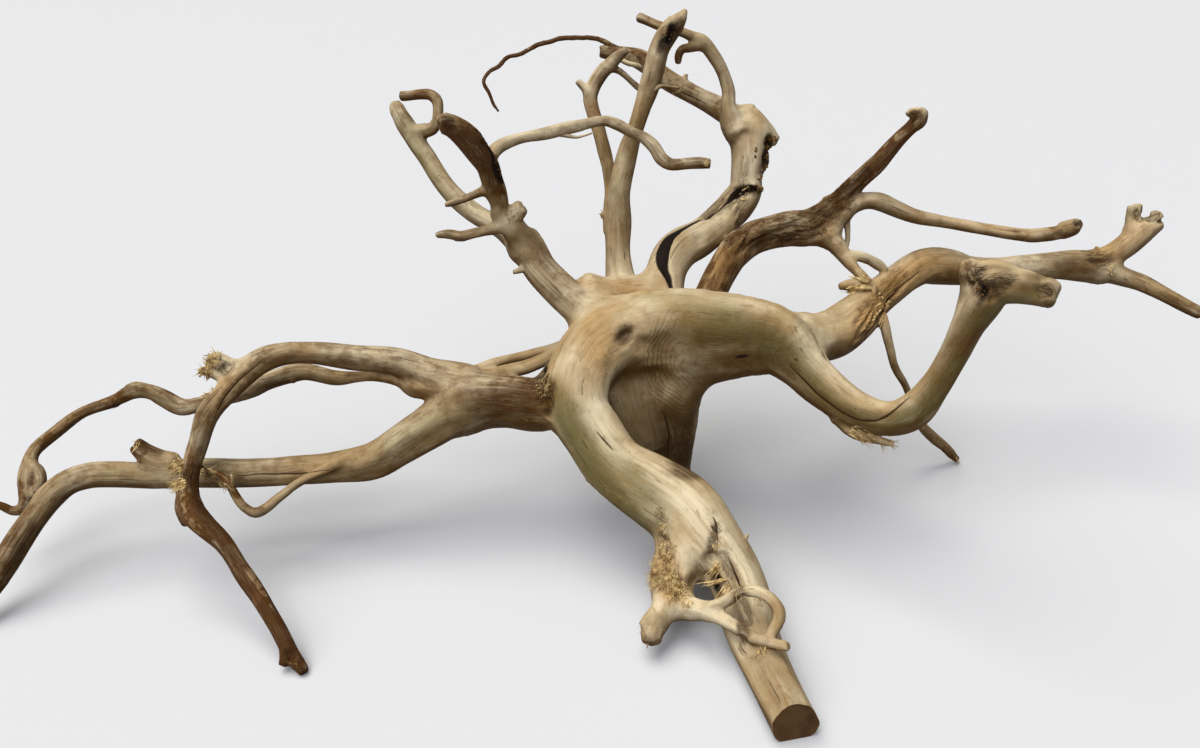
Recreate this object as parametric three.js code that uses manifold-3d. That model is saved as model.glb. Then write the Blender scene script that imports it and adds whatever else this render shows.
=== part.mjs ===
// A spiderwood root: one dry, bleached root stock, dug up, sawn from its stem and stripped of bark.
// It stands on the flat sawn foot of its tap root, with the sawn stem and the tips of three long roots on the
// ground round it. It grew as one piece, so it is one solid. Millimetres, +Z up, +X right, +Y to the back,
// with the origin at the centre of the foot.
//
// Every root is drawn as it is seen from one standpoint in front of it, on a picture 1200 wide and 748 high.
// A route is a list of [column, row, reach, half width]. Column, row and half width are in pixels of that
// picture, and reach is how far the point is from the standpoint along the line of sight, in millimetres.
import * as THREE from "three";
import { mergeVertices } from "three/addons/utils/BufferGeometryUtils.js";
import Module from "manifold-3d";

// Where the root is seen from, in millimetres from the centre of the foot
const EYE = new THREE.Vector3(-28.58, -612.76, 450);
const EYE_PITCH = THREE.MathUtils.degToRad(28);
const PICTURE_CENTRE = { column: 600, row: 374 };
const FOCAL_PIXELS = 950;

// How finely the roots are drawn
const SAMPLES = 160; // points a route is measured at before its rings are chosen
const RING_ERROR = 0.8; // how far, in millimetres, the wood may lie from the line between two rings
const LONGEST_STEP = 60;
const FEWEST_SIDES = 6;
const MOST_SIDES = 12;
const SIDES_PER_MM = 0.33;

// How far a root departs from round: two lobes and three lobes, which wind slowly along it
const OVAL = 0.07;
const THREE_LOBED = 0.045;
const WIND_PER_MM = 0.011;
const SWELLING = 0.035;
const SWELLING_MM = 31;

// The flat faces that a saw left
const SAW_BLOCK = 400;
const STEM_CUT = { column: 795, row: 720, reach: 550.5, facing: new THREE.Vector3(0.22, -0.97, 0.09) };

// The stock in the middle, with the sawn stem in front and the tap root under it
const crown = {
  front_leg: [
    [655, 322, 712, 24], [627, 334, 706, 32], [596, 349, 700, 35], [578, 380, 692, 32], [579, 410, 687, 30],
    [593, 434, 682, 30], [616, 466, 673, 31], [650, 489, 664, 34.5], [684, 512, 655, 35.5],
    [708, 541, 645, 32.5], [729, 566, 639, 27.5], [741, 592, 631, 26], [749, 622, 617, 25.5],
    [762, 656, 597, 25], [778, 691, 574, 24.5], [794, 723, 553, 24.8], [805, 745, 538, 24.5],
  ],
  tap_root: [
    [648, 335, 716, 36], [651, 381, 735, 41], [657, 415, 749, 39.5], [660, 446, 765, 32.5],
    [662, 470, 778, 28.5], [666, 485, 785, 29], [667, 500, 792, 30],
  ],
  hollow_face: [[612, 352, 716, 26], [618, 385, 722, 26], [630, 420, 732, 24], [645, 446, 745, 20]],
  stock: [[590, 345, 708, 28], [620, 332, 712, 33], [650, 331, 714, 36], [685, 334, 712, 38], [705, 337, 708, 30]],
  web_under_arch: [[664, 396, 735, 30], [696, 362, 718, 29.5], [733, 346, 702, 27]],
  left_trunk: [
    [600, 385, 706, 26], [570, 392, 704, 30], [540, 404, 703, 28.5], [507, 401, 704, 28], [475, 402, 704, 29.5],
    [450, 409, 703, 26],
  ],
  right_shoulder: [[755, 323, 708, 21], [780, 329.5, 706, 18], [806, 336, 708, 20]],
};

// The two arms on the left, with the thin root between them
const left = {
  lower_left_arm: [
    [470, 406, 703, 24], [448, 417, 702, 24], [427, 430, 701, 23], [402, 443.5, 699, 21.5],
    [372, 459, 698, 18.5], [333, 467, 697, 15], [295, 470, 694, 14.4], [250, 473, 690, 13.8],
    [205, 473, 686, 13.6], [172, 474, 683, 13], [143, 475.5, 680, 12], [114, 475.5, 677, 12.3],
    [90, 476.5, 675, 12.5], [68, 483, 670, 12.5], [50, 497, 665, 13], [34, 518, 659, 12.2],
    [19, 541, 653, 12.2], [4, 566, 647, 12], [-10, 588, 642, 10.5], [-22, 607, 637, 8.5], [-34, 631, 631, 5],
  ],
  upper_left_arm: [
    [470, 388, 705, 20], [440, 375, 703, 18.5], [412, 366, 701, 15], [385, 361.5, 699, 12.8],
    [350, 356.5, 695, 12.2], [312, 352, 690, 10.7], [288, 352.5, 687, 11], [263, 359.5, 684, 12.5],
    [242, 375, 680, 13], [226, 392, 676, 12.2], [208, 413.5, 672, 10.8], [198.5, 443, 667, 10.2],
    [190.5, 467, 662, 9], [187.5, 487, 658, 10], [190, 504, 653, 12.2], [200, 520, 648, 12],
    [223.5, 542.5, 641, 9.4], [241, 571, 632, 9], [261, 600, 622, 8.6], [276.5, 628, 613, 8.2],
    [291, 656, 604, 8], [299.5, 666, 602, 6.5], [305, 673, 600, 5],
  ],
  upper_arm_knuckle: [[242, 374, 680, 11], [228, 365, 681, 9], [216, 359, 682, 7.8], [211, 356, 682, 6.5]],
  upper_arm_tuft: [[233, 382, 680, 9], [219, 376, 680, 7], [206, 371, 680, 5], [199, 371, 680, 3]],
  thin_left_root: [
    [440, 391, 699, 9], [427, 389.5, 700, 9.5], [414, 388, 703, 9.5], [400, 381.5, 706, 6.6],
    [372, 376.5, 714, 5.6], [343, 377, 720, 7.4], [317, 373.5, 725, 8], [293, 373.5, 728, 8.8],
    [268, 380, 728, 9.3], [252, 390, 728, 8.7], [225, 399.5, 724, 8.2], [198, 405, 720, 8],
    [181, 406, 718, 8.5], [164, 398.5, 717, 8.5], [150, 392.5, 716, 7.5], [135, 391.5, 715, 7.5],
    [113, 402, 712, 6], [83, 413.5, 708, 5.7], [58, 432, 704, 6], [35, 451, 699, 6.5], [28.5, 467, 695, 7.7],
    [26.5, 483, 691, 7.7], [27, 498, 688, 6],
  ],
  thin_root_fold: [[29, 460, 695, 5], [37.5, 471, 692, 5], [39.5, 484, 690, 5], [33, 497, 688, 4.5]],
  thin_root_tip: [
    [27, 492, 688, 5], [21, 508, 686, 5], [11, 510.5, 684, 4.6], [1, 506, 682, 4.5], [-8, 503, 680, 3.5],
  ],
  lower_arm_stub: [[175, 464, 682, 10.5], [158, 457, 680, 10.3], [145, 450.5, 678, 9.3], [134, 444, 676, 7.5]],
  hooked_twig: [
    [356, 458, 690, 7], [343, 462, 686, 5.5], [330, 467.5, 683, 4.8], [312, 475.5, 680, 4.3],
    [295, 484.5, 677, 4.2], [279.5, 496, 674, 4.2], [267, 508, 671, 4.5], [255, 513.5, 669, 4.7],
    [244, 508, 667, 4.4], [234.5, 495.5, 666, 4], [228, 482, 666, 3.4], [217, 473, 667, 2.5],
    [205, 467, 668, 1.6],
  ],
  hooked_twig_thorn: [[232, 487, 666, 2.5], [233, 480, 665, 2], [231, 474, 664, 1.2]],
  upper_strand: [
    [455, 378, 708, 9], [472, 370, 713, 6], [503, 361, 725, 4.8], [528, 355, 735, 4.6], [553, 349, 743, 5],
    [580, 340, 748, 8],
  ],
  lower_strand: [
    [470, 384, 706, 10], [500, 373, 715, 8], [526, 366, 723, 7], [548, 357, 731, 7], [570, 345, 737, 9],
    [595, 335, 738, 12],
  ],
};

// The knuckle on the stem, with its broken stub and two crossing twigs
const front = {
  knuckle: [
    [692, 528, 652, 22], [680, 552, 645, 23], [673, 575, 638, 22], [672, 594, 630, 20.5], [678, 606, 626, 14.5],
  ],
  knuckle_stub: [
    [668, 598, 628, 12], [663, 611, 622, 12.5], [657, 623, 616, 12.5], [652, 635, 610, 10.5],
    [652, 645, 606, 8],
  ],
  long_front_twig: [
    [676, 604, 626, 14], [692, 608, 619, 12], [706, 612, 612, 9.5], [722, 618, 603, 7.5], [739, 628, 594, 6.6],
    [757, 640, 586, 6], [773, 644, 580, 5.5], [785, 646, 577, 5], [789, 646, 576, 5],
  ],
  bent_front_twig: [
    [704, 612, 613, 8], [716, 606, 607, 6.5], [728, 600, 602, 6], [742, 593, 597, 6], [757, 592, 593, 6],
    [769, 598, 590, 6], [778, 610, 587, 6.5], [779, 620, 585, 6], [773, 632, 584, 5.5], [767, 642, 584, 4.5],
    [763, 652, 585, 3],
  ],
  stem_splinter: [[728, 592, 632, 5], [716, 586, 630, 3.4], [706, 584, 628, 1.8], [700, 585, 628, 0.9]],
  stem_spur: [[738, 545, 640, 4], [745, 539, 640, 2.5], [749, 534, 640, 1.2]],
  leg_spur: [[597, 470, 672, 5], [590, 478, 670, 3], [587, 482, 669, 1.2]],
};

// The arm that leans up to the left and splits into a long arm and a bent one
const upperLeft = {
  leaning_arm: [
    [610, 330, 712, 24], [597, 318, 715, 21], [583, 310, 716, 18], [559, 288, 719, 17], [541, 269, 722, 16.5],
    [529, 249, 724, 17], [520, 236, 726, 15],
  ],
  leaning_arm_end: [
    [527, 250, 726, 14], [511, 239, 731, 11], [497, 228, 735, 9.8], [478, 215, 739, 9.2], [459.5, 200, 743, 9],
    [447.5, 187, 746, 9], [437.5, 173, 748, 9.2], [427, 155.5, 751, 9], [415.5, 139.5, 754, 9],
    [405.5, 124, 757, 9.3], [398.5, 111, 760, 7.8], [394, 103, 761, 5.5],
  ],
  curl: [
    [415, 132, 752, 6.5], [424, 131, 749, 6.8], [432, 128, 746, 6], [436.5, 121, 744, 5.2],
    [437.5, 110, 743, 5.2], [436, 100, 743, 5.6], [429, 95, 744, 5], [420, 95, 745, 4.6], [410, 96, 745, 4.6],
    [400, 96, 745, 5],
  ],
  pale_stub: [
    [527, 252, 722, 15], [520, 238, 715, 13], [512, 226, 708, 11.5], [510, 218, 704, 10], [519, 209, 700, 8],
    [523, 206, 699, 5.5],
  ],
  bent_arm: [
    [507, 222, 704, 9], [500, 214, 699, 8.5], [501, 203, 694, 7.5], [497.5, 193, 689, 8.8],
    [492.5, 182, 684, 10.5], [488.5, 166, 678, 11.2], [480.5, 153, 673, 12], [471, 140.5, 669, 12.6],
    [459, 129.8, 665, 12.4], [449, 124.5, 662, 10.5], [440, 125, 660, 7],
  ],
  upper_twig: [
    [492, 190, 688, 7], [484, 191, 687, 5.5], [474, 195, 688, 4.2], [462, 200, 690, 3.8], [452, 203, 692, 3.8],
    [445, 204.5, 693, 3.2],
  ],
  twig_web: [[487, 191, 687, 4.2], [492, 200, 690, 4], [497, 210, 696, 4.5], [500, 218, 700, 5]],
  lower_twig: [
    [506, 224, 703, 8], [495, 228, 700, 6.5], [485, 230, 698, 5.5], [474, 233, 696, 5.5], [462, 236, 694, 5.3],
    [451, 234, 693, 4.5], [440, 234.5, 692, 3.5], [435, 235.5, 692, 2.2],
  ],
  leaning_arm_thorn: [[531, 264, 721, 5], [519, 270.5, 714, 2.8], [511.5, 272.5, 711, 2.1]],
  arching_twig: [
    [488, 166, 682, 8], [491, 155, 688, 7], [498, 147, 693, 6.5], [508, 142, 697, 6], [524, 137.2, 700, 5.8],
    [544, 133, 703, 6.3], [560, 130.3, 704, 6.8], [576, 126.6, 705, 6], [590, 123, 706, 5.2],
    [604, 121, 706, 5], [617, 125, 706, 5.2], [630, 132, 706, 5.4], [645, 138.5, 705, 5.5],
    [655, 147, 704, 5.8], [661, 157, 703, 6], [670, 163, 702, 5.8], [685, 163, 701, 5.6], [700, 163, 700, 5.3],
    [711, 163.5, 700, 4.5],
  ],
  arching_splinter: [[560, 134, 704, 3], [577, 137, 703, 1.5], [592, 133, 703, 1]],
};

// The roots that rise at the back
const back = {
  back_ridge: [
    [582, 290, 720, 18], [602, 294, 732, 17], [622, 291, 741, 15], [640, 290, 746, 15.5], [658, 287, 750, 17],
    [672, 285, 752, 18],
  ],
  cracked_arm: [
    [670, 310, 742, 20], [667, 292, 748, 18], [668, 268, 752, 20.5], [679, 250, 756, 20.5],
    [699.5, 238.5, 762, 18.5], [719, 222.5, 766, 17], [736, 206, 770, 16.5], [746, 190, 771, 15.5],
    [746.5, 173, 769, 14.8], [749, 156, 767, 17], [748.5, 138, 765, 18], [745.5, 124, 764, 17],
    [738, 113, 764, 13],
  ],
  cracked_arm_shoulder: [[745, 132, 765, 16], [758, 134, 766, 14.5], [767, 139, 767, 10.5], [770, 147, 767, 6]],
  far_arm: [
    [742, 122, 766, 14], [730, 115, 770, 12], [718, 109, 774, 11], [701, 100, 780, 10], [685, 89.5, 784, 9.8],
    [670, 80.5, 787, 10], [652, 67.5, 790, 10], [641, 59, 792, 10.3], [630, 55, 794, 8.5], [618, 53, 796, 7],
    [606, 51.5, 798, 6.5], [599, 51, 799, 5],
  ],
  far_arm_strand: [[654, 68, 788, 3], [640, 66, 787, 2.6], [628, 63, 788, 2.4], [617, 58, 791, 2.6]],
  far_arm_button: [[680, 87, 784, 4], [684.5, 81, 782, 2.8], [686.5, 73.5, 781, 2.6]],
  whip: [
    [618, 50, 794, 4], [610, 45, 795, 3], [601, 39.5, 795, 2.6], [592, 37.5, 794, 2.3], [575, 38, 792, 2.4],
    [560, 39, 789, 2.4], [544, 43, 786, 2.4], [531, 48.5, 783, 2.2], [520, 54, 780, 2.1], [507, 57.5, 777, 2.1],
    [500, 65, 775, 2], [488, 73, 773, 1.9], [484, 83, 774, 1.9], [489, 93, 776, 1.8], [493, 103, 778, 1.6],
    [498.5, 111.5, 780, 1.2],
  ],
  hooked_arm: [
    [740, 135, 756, 14], [733, 122, 754, 11], [729, 109, 751, 8], [728.5, 93, 748, 7], [725, 80, 745, 7],
    [719, 63, 741, 7.2], [711.5, 50, 738, 7.2], [703, 41, 736, 7.2], [692.5, 36.5, 736, 5.8], [682, 32, 737, 5],
    [670, 28, 738, 4.8], [658, 24.5, 739, 5], [646.5, 20.3, 740, 5], [637, 16.5, 741, 5],
  ],
  hooked_arm_twig: [
    [700, 45, 736, 5.5], [689, 48, 738, 4.4], [681.5, 50, 740, 4], [678.5, 56, 742, 4], [678.5, 64.5, 744, 3.2],
  ],
  upright_arm: [
    [626, 306, 750, 15], [622, 290, 757, 15], [620, 272, 760, 13.5], [617, 242, 757, 12.6],
    [617.5, 210, 750, 12], [622, 179, 743, 10.5], [629.5, 147, 737, 9], [636.5, 126, 733, 8],
    [642.5, 107, 729, 8.3], [648.5, 90, 726, 9.8], [654.5, 70, 722, 9.8], [659.5, 50, 719, 9.8],
    [667, 36, 716, 10.6], [674.5, 26, 714, 9.6], [681.5, 17, 712, 6], [685.5, 9.5, 711, 2],
  ],
  upright_shred: [[652, 91, 722, 3.5], [662, 86, 721, 2], [672, 87, 722, 1.4], [680, 88, 723, 1]],
  upright_companion: [
    [610, 232, 756, 6], [607.5, 214, 759, 6], [609.5, 190, 761, 5.8], [608.5, 168, 762, 6.3],
    [604, 147, 763, 7], [600, 130, 764, 7], [595, 113.5, 764, 6.5], [591.5, 97, 764, 6.8], [595, 83, 763, 7],
    [603, 71.5, 761, 7], [611.5, 63, 759, 6.2], [620, 55, 757, 5.2], [627.5, 49, 755, 4],
  ],
  companion_stub: [[590, 94, 763, 4.5], [583, 87, 762, 3.6], [577, 80.5, 761, 3]],
  companion_twig: [
    [606, 67, 759, 5], [617, 69.5, 763, 3.8], [628, 77, 766, 3.5], [638, 86, 770, 3.3], [646, 96, 774, 2.8],
  ],
};

// The three arms on the right, with the long twig that reaches the ground
const right = {
  swan_arm: [
    [640, 332, 712, 34], [675, 328, 706, 37], [710, 333, 701, 41.5], [743, 335, 696, 39],
    [776, 340.5, 691, 33.5], [799, 361.5, 686, 26.5], [819, 382.5, 680, 23.8], [853, 407.5, 670, 19.6],
    [888, 418.5, 660, 16.8], [913, 410, 648, 17.5], [934, 386, 638, 15.3], [953, 355.5, 630, 15.2],
    [967.5, 326, 622, 16.8], [980, 304, 616, 20.5], [994, 287, 611, 21], [1015, 286.5, 605, 19],
    [1037, 291, 600, 16], [1053, 295.5, 596, 14.5], [1058, 297, 595, 13.5],
  ],
  swan_arm_horn: [[982, 303, 618, 16], [974, 281, 616, 12.8], [968, 267, 615, 7]],
  gnarled_arm: [
    [700, 320, 722, 18], [711, 293, 733, 16], [722.5, 270, 742, 15.2], [734.5, 251, 748, 15.5],
    [750, 239, 752, 15.5], [769, 232.5, 755, 16], [790, 228, 758, 17.5], [808, 227, 760, 18.3],
    [826, 218, 761, 17.5], [838, 206, 761, 13],
  ],
  raised_arm: [
    [834, 210, 761, 13], [846, 195, 759, 10], [861.5, 178.5, 756, 8.6], [875, 164, 753, 8.8],
    [888, 150, 750, 8.2], [901.5, 137, 747, 7.3], [912, 127, 744, 6.8], [919, 119, 742, 8.4],
    [918, 111, 741, 6.2],
  ],
  raised_arm_hook: [[917, 112, 741, 5], [911, 112.5, 741, 4], [907, 115, 741, 2.5]],
  level_arm: [
    [838, 212, 762, 12], [854, 204, 764, 9.5], [868, 201, 766, 9], [880, 202.3, 768, 9], [898, 210, 770, 8.4],
    [914, 216.5, 771, 7.5], [937, 221, 771, 6.4], [957, 224.5, 771, 5.7], [977, 228.5, 770, 5.9],
    [1000, 231.5, 769, 5.9], [1021, 234.5, 768, 6.2], [1035, 235.5, 767, 7], [1051, 233, 765, 7],
    [1067, 228.5, 763, 6.7], [1077, 225, 762, 5.3], [1082, 223, 762, 3],
  ],
  long_twig: [
    [826, 231, 758, 14], [836, 243, 756, 11], [845, 255.5, 752, 8], [854, 266.5, 747, 6], [864, 277, 742, 4.8],
    [873, 288, 739, 4.7], [879.5, 305, 737, 4.4], [885.5, 330, 736, 4.9], [889.5, 346, 737, 4.2],
    [895, 365, 742, 3.8], [904, 384, 752, 3.8], [914, 405, 766, 4.2], [923, 426.5, 780, 5],
    [936, 439, 793, 5.4], [949, 451.5, 806, 4.4], [957, 460, 816, 3],
  ],
  long_twig_branch: [
    [850, 255, 751, 5], [861, 257, 752, 5], [871, 260.5, 755, 5], [879, 266, 757, 5], [886, 271, 758, 4],
  ],
  hidden_strand: [[846, 220, 764, 4], [847, 232, 766, 2.8], [846.5, 243, 767, 2.5], [845, 252, 764, 2.4]],
  right_arm: [
    [800, 346, 700, 22], [818, 339, 712, 24], [836, 333, 725, 25], [853, 320, 738, 23.8], [871, 302.5, 752, 19],
    [889, 288, 763, 17.5], [907, 274, 772, 17.5], [921, 267, 780, 18.2], [936, 266.5, 787, 19],
    [951, 268.5, 791, 17.5], [966, 271, 794, 14.5], [990, 270.5, 797, 12.8], [1020, 267.5, 798, 12.5],
    [1048, 266, 798, 13.8], [1072, 265.5, 797, 16], [1092, 267, 796, 16.5], [1106, 269, 795, 14],
  ],
  right_arm_splinter: [[874, 291, 754, 10], [861, 287, 750, 9], [850, 285, 748, 6.5], [839, 286.5, 747, 3]],
  forked_end: [
    [1096, 264, 795, 13], [1112, 256, 791, 12], [1126, 246.5, 787, 12.3], [1138, 235.5, 784, 12.5],
    [1147, 228.5, 782, 11], [1154, 224, 780, 9.5], [1160, 220.5, 779, 8.3],
  ],
  forked_end_prong: [
    [1136, 231, 784, 11], [1135.5, 218, 783, 8.3], [1135, 208, 782, 7.4], [1134.5, 204.5, 782, 7],
  ],
  forked_end_nub: [[1098, 252, 790, 3.5], [1096, 246, 789, 2]],
  drooping_end: [
    [1098, 268, 794, 13], [1113, 273.5, 792, 10.8], [1128, 278, 790, 9], [1140, 282, 787, 8.3],
    [1153, 288.5, 784, 7.8], [1166, 295.5, 781, 7.2], [1182, 304, 778, 6.6], [1197, 311.5, 775, 6.4],
    [1203, 314, 774, 6],
  ],
  bark_strip: [
    [836, 416, 674, 8], [850, 430, 672, 5.5], [864, 436.5, 670, 5], [879, 440.5, 668, 4], [894, 444, 665, 2.5],
  ],
};

// The point of the picture at a reach, in the root's own frame
function place(column, row, reach) {
  const across = ((column - PICTURE_CENTRE.column) / FOCAL_PIXELS) * reach;
  const up = ((PICTURE_CENTRE.row - row) / FOCAL_PIXELS) * reach;
  const forward = new THREE.Vector3(0, Math.cos(EYE_PITCH), -Math.sin(EYE_PITCH));
  const upward = new THREE.Vector3(0, Math.sin(EYE_PITCH), Math.cos(EYE_PITCH));
  return EYE.clone()
    .addScaledVector(forward, reach)
    .addScaledVector(upward, up)
    .add(new THREE.Vector3(across, 0, 0));
}

// How much wider than round the root is at an angle, a distance along it
function lobes(angle, along, turn) {
  const oval = OVAL * Math.cos(2 * angle + turn + WIND_PER_MM * along);
  const threeLobed = THREE_LOBED * Math.cos(3 * angle + 2 * turn - WIND_PER_MM * along);
  const swelling = SWELLING * Math.sin(along / SWELLING_MM + 3 * turn);
  return 1 + oval + threeLobed + swelling;
}

// The samples at which rings are needed, so that straight lines between the rings keep to the route
function ringsFor(centres, radii, spacing) {
  const rings = [0];
  const between = new THREE.Vector3();
  let next = 1;
  while (next < SAMPLES) {
    const first = rings[rings.length - 1];
    const last = next + 1;
    let worst = (last - first) * spacing > LONGEST_STEP ? Infinity : 0;
    for (let k = first + 1; k < last; k++) {
      const t = (k - first) / (last - first);
      between.lerpVectors(centres[first], centres[last], t);
      const thinner = THREE.MathUtils.lerp(radii[first], radii[last], t) - radii[k];
      worst = Math.max(worst, between.distanceTo(centres[k]), Math.abs(thinner));
    }
    if (worst > RING_ERROR) rings.push(next);
    next++;
  }
  return [...rings, SAMPLES];
}

// A root: a capped cylinder whose rings are set along its route
function rootAlong(route, turn) {
  const curve = new THREE.CatmullRomCurve3(
    route.map(([column, row, reach]) => place(column, row, reach)), false, "centripetal",
  );
  const girth = new THREE.CatmullRomCurve3(
    route.map(([, , reach, half]) => new THREE.Vector3((half / FOCAL_PIXELS) * reach, 0, 0)), false, "catmullrom",
  );
  const samples = [...Array(SAMPLES + 1).keys()].map((i) => i / SAMPLES);
  const centres = samples.map((u) => curve.getPointAt(u));
  const radii = samples.map((u) => girth.getPoint(curve.getUtoTmapping(u)).x);
  const mean = radii.reduce((sum, r) => sum + r, 0) / radii.length;
  const length = curve.getLength();
  const rings = ringsFor(centres, radii, length / SAMPLES);
  const steps = rings.length - 1;
  const sides = THREE.MathUtils.clamp(Math.round(FEWEST_SIDES + SIDES_PER_MM * (mean - 2)), FEWEST_SIDES, MOST_SIDES);
  const cornered = 2 / (1 + Math.cos(Math.PI / sides));
  const frames = curve.computeFrenetFrames(SAMPLES, false);
  const shape = new THREE.CylinderGeometry(1, 1, 1, sides, steps);
  const position = shape.getAttribute("position");
  const vertex = new THREE.Vector3();
  for (let i = 0; i < position.count; i++) {
    vertex.fromBufferAttribute(position, i);
    const k = rings[Math.round((0.5 - vertex.y) * steps)];
    const along = (k / SAMPLES) * length;
    const width = cornered * radii[k] * lobes(Math.atan2(vertex.z, vertex.x), along, turn);
    const centre = centres[k].clone();
    centre.addScaledVector(frames.normals[k], vertex.x * width);
    centre.addScaledVector(frames.binormals[k], vertex.z * width);
    position.setXYZ(i, centre.x, centre.y, centre.z);
  }
  return shape;
}

const wasm = await Module();
wasm.setup();

function solidOf(geometry) {
  geometry.deleteAttribute("normal");
  geometry.deleteAttribute("uv");
  const merged = mergeVertices(geometry, 1e-4);
  return new wasm.Manifold(
    new wasm.Mesh({
      numProp: 3,
      vertProperties: merged.getAttribute("position").array,
      triVerts: new Uint32Array(merged.getIndex().array),
    }),
  );
}

// A big block whose one face lies on the saw's plane, with the wood to be cut away inside it
function sawBlock(point, facing) {
  const block = new THREE.BoxGeometry(SAW_BLOCK, SAW_BLOCK, SAW_BLOCK);
  const turn = new THREE.Quaternion().setFromUnitVectors(new THREE.Vector3(0, 0, 1), facing);
  block.translate(0, 0, SAW_BLOCK / 2).applyQuaternion(turn).translate(point.x, point.y, point.z);
  return solidOf(block);
}

function groundBlock() {
  const block = new THREE.BoxGeometry(4 * SAW_BLOCK, 4 * SAW_BLOCK, SAW_BLOCK);
  return solidOf(block.translate(0, 0, -SAW_BLOCK / 2));
}

function geometryOf(solid) {
  const mesh = solid.getMesh();
  const geometry = new THREE.BufferGeometry();
  geometry.setAttribute("position", new THREE.BufferAttribute(new Float32Array(mesh.vertProperties), 3));
  geometry.setIndex(new THREE.BufferAttribute(new Uint32Array(mesh.triVerts), 1));
  geometry.computeVertexNormals();
  return geometry;
}

const routes = Object.values({ ...crown, ...left, ...front, ...upperLeft, ...back, ...right });
const stemCut = sawBlock(
  place(STEM_CUT.column, STEM_CUT.row, STEM_CUT.reach), STEM_CUT.facing.clone().normalize(),
);
const wood = routes
  .map((route, i) => solidOf(rootAlong(route, i)))
  .reduce((whole, root) => whole.add(root))
  .subtract(stemCut)
  .subtract(groundBlock());

const root = new THREE.Mesh(
  geometryOf(wood),
  new THREE.MeshStandardMaterial({ color: 0xc4b698, roughness: 0.74, metalness: 0 }),
);
root.name = "spiderwood_root";

const group = new THREE.Group();
group.add(root);

export default group;
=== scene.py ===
import math

import bmesh
import bpy
import numpy as np
from mathutils import Matrix, Vector
from mathutils.bvhtree import BVHTree


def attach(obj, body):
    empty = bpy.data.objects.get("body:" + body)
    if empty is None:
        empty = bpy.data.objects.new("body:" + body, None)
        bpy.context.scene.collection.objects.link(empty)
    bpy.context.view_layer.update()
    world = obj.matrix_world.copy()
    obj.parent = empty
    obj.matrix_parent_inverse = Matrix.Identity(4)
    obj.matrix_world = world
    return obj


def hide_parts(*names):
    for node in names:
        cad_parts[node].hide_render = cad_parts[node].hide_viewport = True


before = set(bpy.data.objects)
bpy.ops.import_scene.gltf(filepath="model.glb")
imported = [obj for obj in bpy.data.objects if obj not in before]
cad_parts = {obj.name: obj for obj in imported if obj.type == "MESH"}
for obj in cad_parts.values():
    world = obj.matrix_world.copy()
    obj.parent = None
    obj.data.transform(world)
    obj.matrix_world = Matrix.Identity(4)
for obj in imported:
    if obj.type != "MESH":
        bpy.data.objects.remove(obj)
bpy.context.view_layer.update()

bl_info = {
    "name": "Spiderwood Root",
    "version": (1, 0, 0),
    "blender": (4, 5, 0),
    "location": "View3D > Sidebar > Root",
    "description": "Builds a bleached spiderwood root from the routes of its arms, with cracks and fibres",
    "category": "Add Mesh",
}

# Everything is worked out in millimetres, and turned to metres when a mesh is written
METRE = 0.001
FAR = 1000.0  # farther than any point is from its arm
LEAST_RADIUS = 0.4
KINKY = 0.55  # of the radius, how far a thin arm's centre line bends aside between its knots
KNOTTY = 0.12  # how much an arm's radius varies from knot to knot
END_ROUNDING = 0.4  # of the radius, at every free end
END_RAGGED = 0.6  # of the radius, how unevenly a free end broke off
MOST_RAGGED = 3.0  # the most that it does, in millimetres

# The standpoint that the routes are drawn from, on a picture 1200 wide and 748 high
PICTURE = (1200, 748)
EYE = np.array([-28.58, -612.76, 450.0])
EYE_PITCH = math.radians(28)
FOCAL_PIXELS = 950.0
MIDDLE_REACH = 715.0  # the reach of the middle of the root
FORWARD = np.array([0.0, math.cos(EYE_PITCH), -math.sin(EYE_PITCH)])
UPWARD = np.array([0.0, math.sin(EYE_PITCH), math.cos(EYE_PITCH)])

# The saw cut across the stem, as (column, row, reach), and the way it faces
STEM_CUT = (795, 720, 550.5)
STEM_FACING = np.array([0.22, -0.97, 0.09])

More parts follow.
